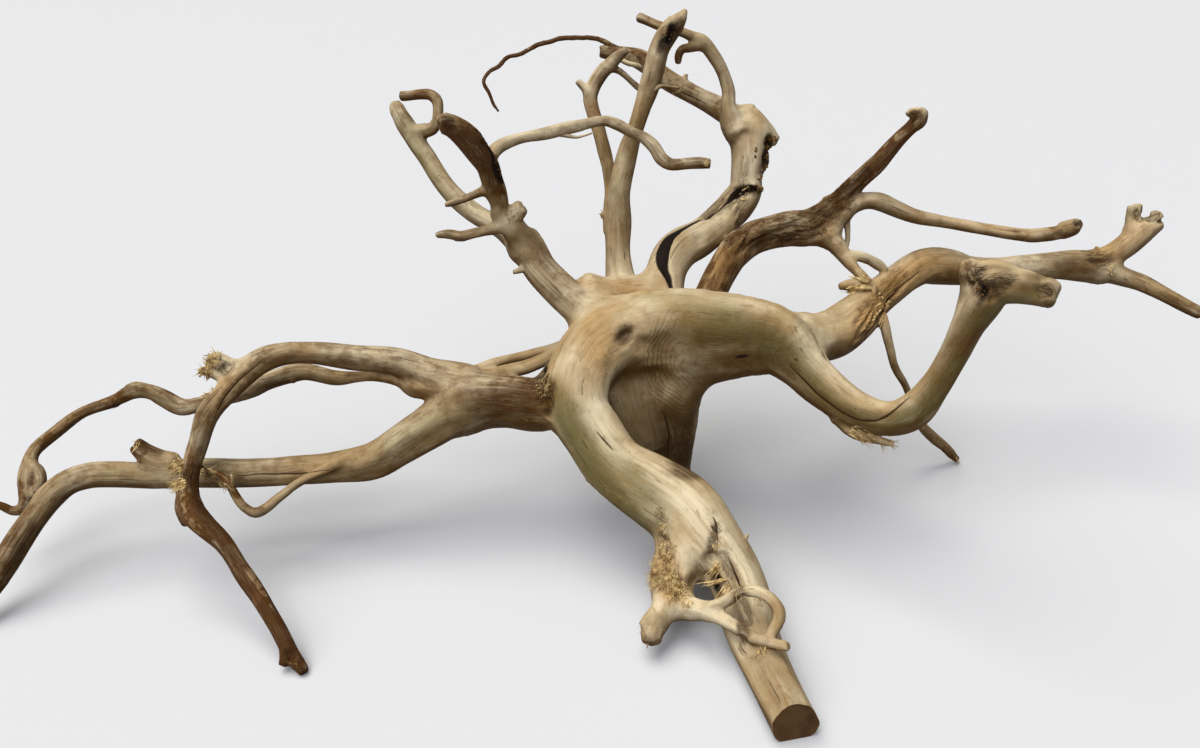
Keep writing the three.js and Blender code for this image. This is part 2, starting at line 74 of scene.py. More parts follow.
# Each arm as a route of (column, row, reach, half width): pixels of the picture, and reach in millimetres
ROUTES = {
    "front_leg": [
        (655, 322, 712, 24), (627, 334, 706, 32), (596, 349, 700, 35), (578, 380, 692, 32),
        (579, 410, 687, 30), (593, 434, 682, 30), (616, 466, 673, 31), (650, 489, 664, 34.5),
        (684, 512, 655, 35.5), (708, 541, 645, 32.5), (729, 566, 639, 27.5), (741, 592, 631, 26),
        (749, 622, 617, 25.5), (762, 656, 597, 25), (778, 691, 574, 24.5), (794, 723, 553, 24.8),
        (805, 745, 538, 24.5),
    ],
    "tap_root": [
        (648, 335, 716, 36), (651, 381, 735, 41), (657, 415, 749, 39.5), (660, 446, 765, 32.5),
        (662, 470, 778, 28.5), (666, 485, 785, 29), (667, 500, 792, 30),
    ],
    "hollow_face": [(612, 352, 716, 26), (618, 385, 722, 26), (630, 420, 732, 24), (645, 446, 745, 20)],
    "stock": [
        (590, 345, 708, 28), (620, 332, 712, 33), (650, 331, 714, 36), (685, 334, 712, 38),
        (705, 337, 708, 30),
    ],
    "web_under_arch": [(664, 396, 735, 30), (696, 362, 718, 29.5), (733, 346, 702, 27)],
    "left_trunk": [
        (600, 385, 706, 26), (570, 392, 704, 30), (540, 404, 703, 28.5), (507, 401, 704, 28),
        (475, 402, 704, 29.5), (450, 409, 703, 26),
    ],
    "right_shoulder": [(755, 323, 708, 21), (780, 329.5, 706, 18), (806, 336, 708, 20)],
    # The two arms on the left, with the thin root between them
    "lower_left_arm": [
        (470, 406, 703, 24), (448, 417, 702, 24), (427, 430, 701, 23), (402, 443.5, 699, 21.5),
        (372, 459, 698, 18.5), (333, 467, 697, 15), (295, 470, 694, 14.4), (250, 473, 690, 13.8),
        (205, 473, 686, 13.6), (172, 474, 683, 13), (143, 475.5, 680, 12), (114, 475.5, 677, 12.3),
        (90, 476.5, 675, 12.5), (68, 483, 670, 12.5), (50, 497, 665, 13), (34, 518, 659, 12.2),
        (19, 541, 653, 12.2), (4, 566, 647, 12), (-10, 588, 642, 10.5), (-22, 607, 637, 8.5),
        (-34, 631, 631, 5),
    ],
    "upper_left_arm": [
        (470, 388, 705, 20), (440, 375, 703, 18.5), (412, 366, 701, 15), (385, 361.5, 699, 12.8),
        (350, 356.5, 695, 12.2), (312, 352, 690, 10.7), (288, 352.5, 687, 11), (263, 359.5, 684, 12.5),
        (242, 375, 680, 13), (226, 392, 676, 12.2), (208, 413.5, 672, 10.8), (198.5, 443, 667, 10.2),
        (190.5, 467, 662, 9), (187.5, 487, 658, 10), (190, 504, 653, 12.2), (200, 520, 648, 12),
        (223.5, 542.5, 641, 9.4), (241, 571, 632, 9), (261, 600, 622, 8.6), (276.5, 628, 613, 8.2),
        (291, 656, 604, 8), (299.5, 666, 602, 6.5), (305, 673, 600, 5),
    ],
    "upper_arm_knuckle": [
        (242, 374, 680, 11), (228, 365, 681, 9), (216, 359, 682, 7.8), (211, 356, 682, 6.5),
    ],
    "upper_arm_tuft": [(233, 382, 680, 9), (219, 376, 680, 7), (206, 371, 680, 5), (199, 371, 680, 3)],
    "thin_left_root": [
        (440, 391, 699, 9), (427, 389.5, 700, 9.5), (414, 388, 703, 9.5), (400, 381.5, 706, 6.6),
        (372, 376.5, 714, 5.6), (343, 377, 720, 7.4), (317, 373.5, 725, 8), (293, 373.5, 728, 8.8),
        (268, 380, 728, 9.3), (252, 390, 728, 8.7), (225, 399.5, 724, 8.2), (198, 405, 720, 8),
        (181, 406, 718, 8.5), (164, 398.5, 717, 8.5), (150, 392.5, 716, 7.5), (135, 391.5, 715, 7.5),
        (113, 402, 712, 6), (83, 413.5, 708, 5.7), (58, 432, 704, 6), (35, 451, 699, 6.5),
        (28.5, 467, 695, 7.7), (26.5, 483, 691, 7.7), (27, 498, 688, 6),
    ],
    "thin_root_fold": [(29, 460, 695, 5), (37.5, 471, 692, 5), (39.5, 484, 690, 5), (33, 497, 688, 4.5)],
    "thin_root_tip": [
        (27, 492, 688, 5), (21, 508, 686, 5), (11, 510.5, 684, 4.6), (1, 506, 682, 4.5), (-8, 503, 680, 3.5),
    ],
    "lower_arm_stub": [
        (175, 464, 682, 10.5), (158, 457, 680, 10.3), (145, 450.5, 678, 9.3), (134, 444, 676, 7.5),
    ],
    "hooked_twig": [
        (356, 458, 690, 7), (343, 462, 686, 5.5), (330, 467.5, 683, 4.8), (312, 475.5, 680, 4.3),
        (295, 484.5, 677, 4.2), (279.5, 496, 674, 4.2), (267, 508, 671, 4.5), (255, 513.5, 669, 4.7),
        (244, 508, 667, 4.4), (234.5, 495.5, 666, 4), (228, 482, 666, 3.4), (217, 473, 667, 2.5),
        (205, 467, 668, 1.6),
    ],
    "hooked_twig_thorn": [(232, 487, 666, 2.5), (233, 480, 665, 2), (231, 474, 664, 1.2)],
    "upper_strand": [
        (455, 378, 708, 9), (472, 370, 713, 6), (503, 361, 725, 4.8), (528, 355, 735, 4.6),
        (553, 349, 743, 5), (580, 340, 748, 8),
    ],
    "lower_strand": [
        (470, 384, 706, 10), (500, 373, 715, 8), (526, 366, 723, 7), (548, 357, 731, 7), (570, 345, 737, 9),
        (595, 335, 738, 12),
    ],
    # The knuckle on the stem, with its broken stub and two crossing twigs
    "knuckle": [
        (692, 528, 652, 22), (680, 552, 645, 23), (673, 575, 638, 22), (672, 594, 630, 20.5),
        (678, 606, 626, 14.5),
    ],
    "knuckle_stub": [
        (668, 598, 628, 12), (663, 611, 622, 12.5), (657, 623, 616, 12.5), (652, 635, 610, 10.5),
        (652, 645, 606, 8),
    ],
    "long_front_twig": [
        (676, 604, 626, 14), (692, 608, 619, 12), (706, 612, 612, 9.5), (722, 618, 603, 7.5),
        (739, 628, 594, 6.6), (757, 640, 586, 6), (773, 644, 580, 5.5), (785, 646, 577, 5),
        (789, 646, 576, 5),
    ],
    "bent_front_twig": [
        (704, 612, 613, 8), (716, 606, 607, 6.5), (728, 600, 602, 6), (742, 593, 597, 6), (757, 592, 593, 6),
        (769, 598, 590, 6), (778, 610, 587, 6.5), (779, 620, 585, 6), (773, 632, 584, 5.5),
        (767, 642, 584, 4.5), (763, 652, 585, 3),
    ],
    "stem_splinter": [(728, 592, 632, 5), (716, 586, 630, 3.4), (706, 584, 628, 1.8), (700, 585, 628, 0.9)],
    "stem_spur": [(738, 545, 640, 4), (745, 539, 640, 2.5), (749, 534, 640, 1.2)],
    "leg_spur": [(597, 470, 672, 5), (590, 478, 670, 3), (587, 482, 669, 1.2)],
    # The arm that leans up to the left and splits into a long arm and a bent one
    "leaning_arm": [
        (610, 330, 712, 24), (597, 318, 715, 21), (583, 310, 716, 18), (559, 288, 719, 17),
        (541, 269, 722, 16.5), (529, 249, 724, 17), (520, 236, 726, 15),
    ],
    "leaning_arm_end": [
        (527, 250, 726, 14), (511, 239, 731, 11), (497, 228, 735, 9.8), (478, 215, 739, 9.2),
        (459.5, 200, 743, 9), (447.5, 187, 746, 9), (437.5, 173, 748, 9.2), (427, 155.5, 751, 9),
        (415.5, 139.5, 754, 9), (405.5, 124, 757, 9.3), (398.5, 111, 760, 7.8), (394, 103, 761, 5.5),
    ],
    "curl": [
        (415, 132, 752, 6.5), (424, 131, 749, 6.8), (432, 128, 746, 6), (436.5, 121, 744, 5.2),
        (437.5, 110, 743, 5.2), (436, 100, 743, 5.6), (429, 95, 744, 5), (420, 95, 745, 4.6),
        (410, 96, 745, 4.6), (400, 96, 745, 5),
    ],
    "pale_stub": [
        (527, 252, 722, 15), (520, 238, 715, 13), (512, 226, 708, 11.5), (510, 218, 704, 10),
        (519, 209, 700, 8), (523, 206, 699, 5.5),
    ],
    "bent_arm": [
        (507, 222, 704, 9), (500, 214, 699, 8.5), (501, 203, 694, 7.5), (497.5, 193, 689, 8.8),
        (492.5, 182, 684, 10.5), (488.5, 166, 678, 11.2), (480.5, 153, 673, 12), (471, 140.5, 669, 12.6),
        (459, 129.8, 665, 12.4), (449, 124.5, 662, 10.5), (440, 125, 660, 7),
    ],
    "upper_twig": [
        (492, 190, 688, 7), (484, 191, 687, 5.5), (474, 195, 688, 4.2), (462, 200, 690, 3.8),
        (452, 203, 692, 3.8), (445, 204.5, 693, 3.2),
    ],
    "twig_web": [(487, 191, 687, 4.2), (492, 200, 690, 4), (497, 210, 696, 4.5), (500, 218, 700, 5)],
    "lower_twig": [
        (506, 224, 703, 8), (495, 228, 700, 6.5), (485, 230, 698, 5.5), (474, 233, 696, 5.5),
        (462, 236, 694, 5.3), (451, 234, 693, 4.5), (440, 234.5, 692, 3.5), (435, 235.5, 692, 2.2),
    ],
    "leaning_arm_thorn": [(531, 264, 721, 5), (519, 270.5, 714, 2.8), (511.5, 272.5, 711, 2.1)],
    "arching_twig": [
        (488, 166, 682, 8), (491, 155, 688, 7), (498, 147, 693, 6.5), (508, 142, 697, 6),
        (524, 137.2, 700, 5.8), (544, 133, 703, 6.3), (560, 130.3, 704, 6.8), (576, 126.6, 705, 6),
        (590, 123, 706, 5.2), (604, 121, 706, 5), (617, 125, 706, 5.2), (630, 132, 706, 5.4),
        (645, 138.5, 705, 5.5), (655, 147, 704, 5.8), (661, 157, 703, 6), (670, 163, 702, 5.8),
        (685, 163, 701, 5.6), (700, 163, 700, 5.3), (711, 163.5, 700, 4.5),
    ],
    "arching_splinter": [(560, 134, 704, 3), (577, 137, 703, 1.5), (592, 133, 703, 1)],
    # The roots that rise at the back
    "back_ridge": [
        (582, 290, 720, 18), (602, 294, 732, 17), (622, 291, 741, 15), (640, 290, 746, 15.5),
        (658, 287, 750, 17), (672, 285, 752, 18),
    ],
    "cracked_arm": [
        (670, 310, 742, 20), (667, 292, 748, 18), (668, 268, 752, 20.5), (679, 250, 756, 20.5),
        (699.5, 238.5, 762, 18.5), (719, 222.5, 766, 17), (736, 206, 770, 16.5), (746, 190, 771, 15.5),
        (746.5, 173, 769, 14.8), (749, 156, 767, 17), (748.5, 138, 765, 18), (745.5, 124, 764, 17),
        (738, 113, 764, 13),
    ],
    "cracked_arm_shoulder": [
        (745, 132, 765, 16), (758, 134, 766, 14.5), (767, 139, 767, 10.5), (770, 147, 767, 6),
    ],
    "far_arm": [
        (742, 122, 766, 14), (730, 115, 770, 12), (718, 109, 774, 11), (701, 100, 780, 10),
        (685, 89.5, 784, 9.8), (670, 80.5, 787, 10), (652, 67.5, 790, 10), (641, 59, 792, 10.3),
        (630, 55, 794, 8.5), (618, 53, 796, 7), (606, 51.5, 798, 6.5), (599, 51, 799, 5),
    ],
    "far_arm_strand": [(654, 68, 788, 3), (640, 66, 787, 2.6), (628, 63, 788, 2.4), (617, 58, 791, 2.6)],
    "far_arm_button": [(680, 87, 784, 4), (684.5, 81, 782, 2.8), (686.5, 73.5, 781, 2.6)],
    "whip": [
        (618, 50, 794, 4), (610, 45, 795, 3), (601, 39.5, 795, 2.6), (592, 37.5, 794, 2.3),
        (575, 38, 792, 2.4), (560, 39, 789, 2.4), (544, 43, 786, 2.4), (531, 48.5, 783, 2.2),
        (520, 54, 780, 2.1), (507, 57.5, 777, 2.1), (500, 65, 775, 2), (488, 73, 773, 1.9),
        (484, 83, 774, 1.9), (489, 93, 776, 1.8), (493, 103, 778, 1.6), (498.5, 111.5, 780, 1.2),
    ],
    "hooked_arm": [
        (740, 135, 756, 14), (733, 122, 754, 11), (729, 109, 751, 8), (728.5, 93, 748, 7), (725, 80, 745, 7),
        (719, 63, 741, 7.2), (711.5, 50, 738, 7.2), (703, 41, 736, 7.2), (692.5, 36.5, 736, 5.8),
        (682, 32, 737, 5), (670, 28, 738, 4.8), (658, 24.5, 739, 5), (646.5, 20.3, 740, 5),
        (637, 16.5, 741, 5),
    ],
    "hooked_arm_twig": [
        (700, 45, 736, 5.5), (689, 48, 738, 4.4), (681.5, 50, 740, 4), (678.5, 56, 742, 4),
        (678.5, 64.5, 744, 3.2),
    ],
    "upright_arm": [
        (626, 306, 750, 15), (622, 290, 757, 15), (620, 272, 760, 13.5), (617, 242, 757, 12.6),
        (617.5, 210, 750, 12), (622, 179, 743, 10.5), (629.5, 147, 737, 9), (636.5, 126, 733, 8),
        (642.5, 107, 729, 8.3), (648.5, 90, 726, 9.8), (654.5, 70, 722, 9.8), (659.5, 50, 719, 9.8),
        (667, 36, 716, 10.6), (674.5, 26, 714, 9.6), (681.5, 17, 712, 6), (685.5, 9.5, 711, 2),
    ],
    "upright_shred": [(652, 91, 722, 3.5), (662, 86, 721, 2), (672, 87, 722, 1.4), (680, 88, 723, 1)],
    "upright_companion": [
        (610, 232, 756, 6), (607.5, 214, 759, 6), (609.5, 190, 761, 5.8), (608.5, 168, 762, 6.3),
        (604, 147, 763, 7), (600, 130, 764, 7), (595, 113.5, 764, 6.5), (591.5, 97, 764, 6.8),
        (595, 83, 763, 7), (603, 71.5, 761, 7), (611.5, 63, 759, 6.2), (620, 55, 757, 5.2),
        (627.5, 49, 755, 4),
    ],
    "companion_stub": [(590, 94, 763, 4.5), (583, 87, 762, 3.6), (577, 80.5, 761, 3)],
    "companion_twig": [
        (606, 67, 759, 5), (617, 69.5, 763, 3.8), (628, 77, 766, 3.5), (638, 86, 770, 3.3),
        (646, 96, 774, 2.8),
    ],
    # The three arms on the right, with the long twig that reaches the ground
    "swan_arm": [
        (640, 332, 712, 34), (675, 328, 706, 37), (710, 333, 701, 41.5), (743, 335, 696, 39),
        (776, 340.5, 691, 33.5), (799, 361.5, 686, 26.5), (819, 382.5, 680, 23.8), (853, 407.5, 670, 19.6),
        (888, 418.5, 660, 16.8), (913, 410, 648, 17.5), (934, 386, 638, 15.3), (953, 355.5, 630, 15.2),
        (967.5, 326, 622, 16.8), (980, 304, 616, 20.5), (994, 287, 611, 21), (1015, 286.5, 605, 19),
        (1037, 291, 600, 16), (1053, 295.5, 596, 14.5), (1058, 297, 595, 13.5),
    ],
    "swan_arm_horn": [(982, 303, 618, 16), (974, 281, 616, 12.8), (968, 267, 615, 7)],
    "gnarled_arm": [
        (700, 320, 722, 18), (711, 293, 733, 16), (722.5, 270, 742, 15.2), (734.5, 251, 748, 15.5),
        (750, 239, 752, 15.5), (769, 232.5, 755, 16), (790, 228, 758, 17.5), (808, 227, 760, 18.3),
        (826, 218, 761, 17.5), (838, 206, 761, 13),
    ],
    "raised_arm": [
        (834, 210, 761, 13), (846, 195, 759, 10), (861.5, 178.5, 756, 8.6), (875, 164, 753, 8.8),
        (888, 150, 750, 8.2), (901.5, 137, 747, 7.3), (912, 127, 744, 6.8), (919, 119, 742, 8.4),
        (918, 111, 741, 6.2),
    ],
    "raised_arm_hook": [(917, 112, 741, 5), (911, 112.5, 741, 4), (907, 115, 741, 2.5)],
    "level_arm": [
        (838, 212, 762, 12), (854, 204, 764, 9.5), (868, 201, 766, 9), (880, 202.3, 768, 9),
        (898, 210, 770, 8.4), (914, 216.5, 771, 7.5), (937, 221, 771, 6.4), (957, 224.5, 771, 5.7),
        (977, 228.5, 770, 5.9), (1000, 231.5, 769, 5.9), (1021, 234.5, 768, 6.2), (1035, 235.5, 767, 7),
        (1051, 233, 765, 7), (1067, 228.5, 763, 6.7), (1077, 225, 762, 5.3), (1082, 223, 762, 3),
    ],
    "long_twig": [
        (826, 231, 758, 14), (836, 243, 756, 11), (845, 255.5, 752, 8), (854, 266.5, 747, 6),
        (864, 277, 742, 4.8), (873, 288, 739, 4.7), (879.5, 305, 737, 4.4), (885.5, 330, 736, 4.9),
        (889.5, 346, 737, 4.2), (895, 365, 742, 3.8), (904, 384, 752, 3.8), (914, 405, 766, 4.2),
        (923, 426.5, 780, 5), (936, 439, 793, 5.4), (949, 451.5, 806, 4.4), (957, 460, 816, 3),
    ],
    "long_twig_branch": [
        (850, 255, 751, 5), (861, 257, 752, 5), (871, 260.5, 755, 5), (879, 266, 757, 5), (886, 271, 758, 4),
    ],
    "hidden_strand": [(846, 220, 764, 4), (847, 232, 766, 2.8), (846.5, 243, 767, 2.5), (845, 252, 764, 2.4)],
    "right_arm": [
        (800, 346, 700, 22), (818, 339, 712, 24), (836, 333, 725, 25), (853, 320, 738, 23.8),
        (871, 302.5, 752, 19), (889, 288, 763, 17.5), (907, 274, 772, 17.5), (921, 267, 780, 18.2),
        (936, 266.5, 787, 19), (951, 268.5, 791, 17.5), (966, 271, 794, 14.5), (990, 270.5, 797, 12.8),
        (1020, 267.5, 798, 12.5), (1048, 266, 798, 13.8), (1072, 265.5, 797, 16), (1092, 267, 796, 16.5),
        (1106, 269, 795, 14),
    ],
    "right_arm_splinter": [
        (874, 291, 754, 10), (861, 287, 750, 9), (850, 285, 748, 6.5), (839, 286.5, 747, 3),
    ],
    "forked_end": [
        (1096, 264, 795, 13), (1112, 256, 791, 12), (1126, 246.5, 787, 12.3), (1138, 235.5, 784, 12.5),
        (1147, 228.5, 782, 11), (1154, 224, 780, 9.5), (1160, 220.5, 779, 8.3),
    ],
    "forked_end_prong": [
        (1136, 231, 784, 11), (1135.5, 218, 783, 8.3), (1135, 208, 782, 7.4), (1134.5, 204.5, 782, 7),
    ],
    "forked_end_nub": [(1098, 252, 790, 3.5), (1096, 246, 789, 2)],
    "drooping_end": [
        (1098, 268, 794, 13), (1113, 273.5, 792, 10.8), (1128, 278, 790, 9), (1140, 282, 787, 8.3),
        (1153, 288.5, 784, 7.8), (1166, 295.5, 781, 7.2), (1182, 304, 778, 6.6), (1197, 311.5, 775, 6.4),
        (1203, 314, 774, 6),
    ],
    "bark_strip": [
        (836, 416, 674, 8), (850, 430, 672, 5.5), (864, 436.5, 670, 5), (879, 440.5, 668, 4),
        (894, 444, 665, 2.5),
    ],
}

# Arms too thin for the skin's voxels, which are drawn as tubes of their own
THIN = ("whip", "arching_splinter", "upright_shred", "far_arm_strand", "hooked_twig_thorn", "hidden_strand")

# Cracks, as (column, row, half width in pixels, depth in millimetres), painted black or brown inside: painted
# shade, with black rot in the black ones.
# One that has an arm's name lies on that arm, and the others lie on what is in sight there.
CRACKS = {
    "crack_black": [
        ("cracked_arm", [
            (673, 300, 1.8, 1.0), (671.5, 290, 2.2, 2.0), (669, 281, 2.8, 2.5), (665, 271, 4.2, 3.0),
            (662, 261, 6.5, 3.5), (661, 252, 8.5, 3.8), (664, 243, 8.5, 3.8), (670, 236, 6.0, 3.5),
            (680, 230, 4.0, 3.0), (692, 225, 3.0, 2.6), (705, 217, 2.6, 2.6), (718, 207, 2.6, 2.6),
            (730, 199, 3.0, 3.0), (739, 192, 4.2, 3.5), (748, 189, 4.4, 3.5), (757, 189, 2.4, 2.0),
        ]),
        ("bent_arm", [
            (470, 124, 0.8, 1.0), (484, 138, 1.8, 1.5), (490, 148, 3.0, 2.0), (496, 163, 4.5, 3.0),
            (500, 175, 4.0, 3.0), (504, 184, 2.0, 1.0),
        ]),
        (None, [(736, 358, 0.8, 0.5), (742, 357, 2.2, 1.5), (748, 356, 0.8, 0.5)]),
    ],
    "crack_thin": [
        (None, [
            (790, 366, 0.4, 0.3), (802, 378, 0.9, 0.8), (817, 394, 1.0, 1.0), (842, 413, 1.0, 1.0),
            (860, 421, 1.0, 1.0), (874, 422, 1.0, 1.0), (887, 416, 1.0, 1.0), (900, 405, 0.9, 0.8),
            (911, 396, 0.4, 0.3),
        ]),
        (None, [(664, 412, 0.4, 0.4), (668, 428, 1.0, 0.9), (669, 442, 1.2, 1.0), (668, 456, 0.5, 0.4)]),
        (None, [(812, 330, 0.3, 0.2), (817, 342, 0.9, 0.8), (824, 356, 0.8, 0.7), (829, 364, 0.3, 0.2)]),
        (None, [(713, 516, 0.4, 0.6), (716, 524, 1.0, 1.4), (717, 532, 0.9, 1.2), (718, 541, 0.4, 0.4)]),
        (None, [(728, 556, 0.4, 0.4), (735, 574, 1.2, 1.2), (742, 590, 1.2, 1.2), (748, 606, 0.4, 0.4)]),
        (None, [(597, 432, 0.3, 0.4), (603, 439, 0.9, 0.9), (609, 446, 0.8, 0.9), (614, 451, 0.3, 0.4)]),
        (None, [(262, 362, 0.4, 0.3), (240, 380, 0.8, 0.7), (226, 396, 0.8, 0.7), (214, 420, 0.4, 0.3)]),
        (None, [(330, 470, 0.3, 0.2), (300, 474, 0.7, 0.6), (268, 474, 0.7, 0.6), (236, 476, 0.3, 0.2)]),
        (None, [(706, 104, 0.3, 0.2), (690, 96, 0.7, 0.6), (674, 88, 0.3, 0.2)]),
        ("right_arm", [
            (862, 350, 0.4, 0.3), (868, 330, 1.4, 1.5), (882, 305, 1.6, 2.0), (900, 286, 1.0, 1.0),
            (918, 272, 0.4, 0.3),
        ]),
    ],
}
CRACK_PIXELS = 3  # about how far apart the points of a crack are looked for
LEAST_CRACK_STEP, MOST_CRACK_STEP = 0.6, 25  # the nearest and farthest that two points of a crack lie
CRACK_REACH = 12.0  # how far from a crack the wood still takes note of it
LEAST_OPENING = 1.3  # the narrowest furrow that the skin's cells can hold

# Hollows, as (column, row, radius in pixels, depth in millimetres); a depth below zero is a swelling
HOLLOWS = [
    (624, 335, 12, 4.0), (640, 345, 14, 2.0), (664, 350, 28, 4.0), (655, 380, 24, 4.0), (543, 372, 9, 4.0),
    (712, 558, 11, 7.0), (712, 580, 10, 7.0), (671, 33, 9, 3.5), (744, 134, 7, 2.5), (742, 146, 5, -1.0),
    (604, 358, 12, -1.5), (546, 390, 8, -2.0), (656, 571, 12, -1.5), (983, 287, 8, 3.5), (992, 300, 6, 2.0),
    (1006, 278, 6, -2.0), (1052, 294, 9, 0.8), (293, 381, 5, -1.5), (603, 215, 4, -2.5), (1158, 220, 4, 1.5),
    (638, 56, 6, -1.5), (690, 575, 10, -1.5), (768, 147, 5, 4.0), (766, 160, 4, 3.0), (762, 183, 5, 4.0),
    (650, 640, 5, 0.6), (770, 668, 12, 0.8), (700, 240, 10, 1.5), (722, 214, 9, 2.0), (1078, 223, 5, 1.6),
    (560, 350, 10, 1.0), (752, 640, 9, -1.5), (735, 575, 7, 0.4),
]

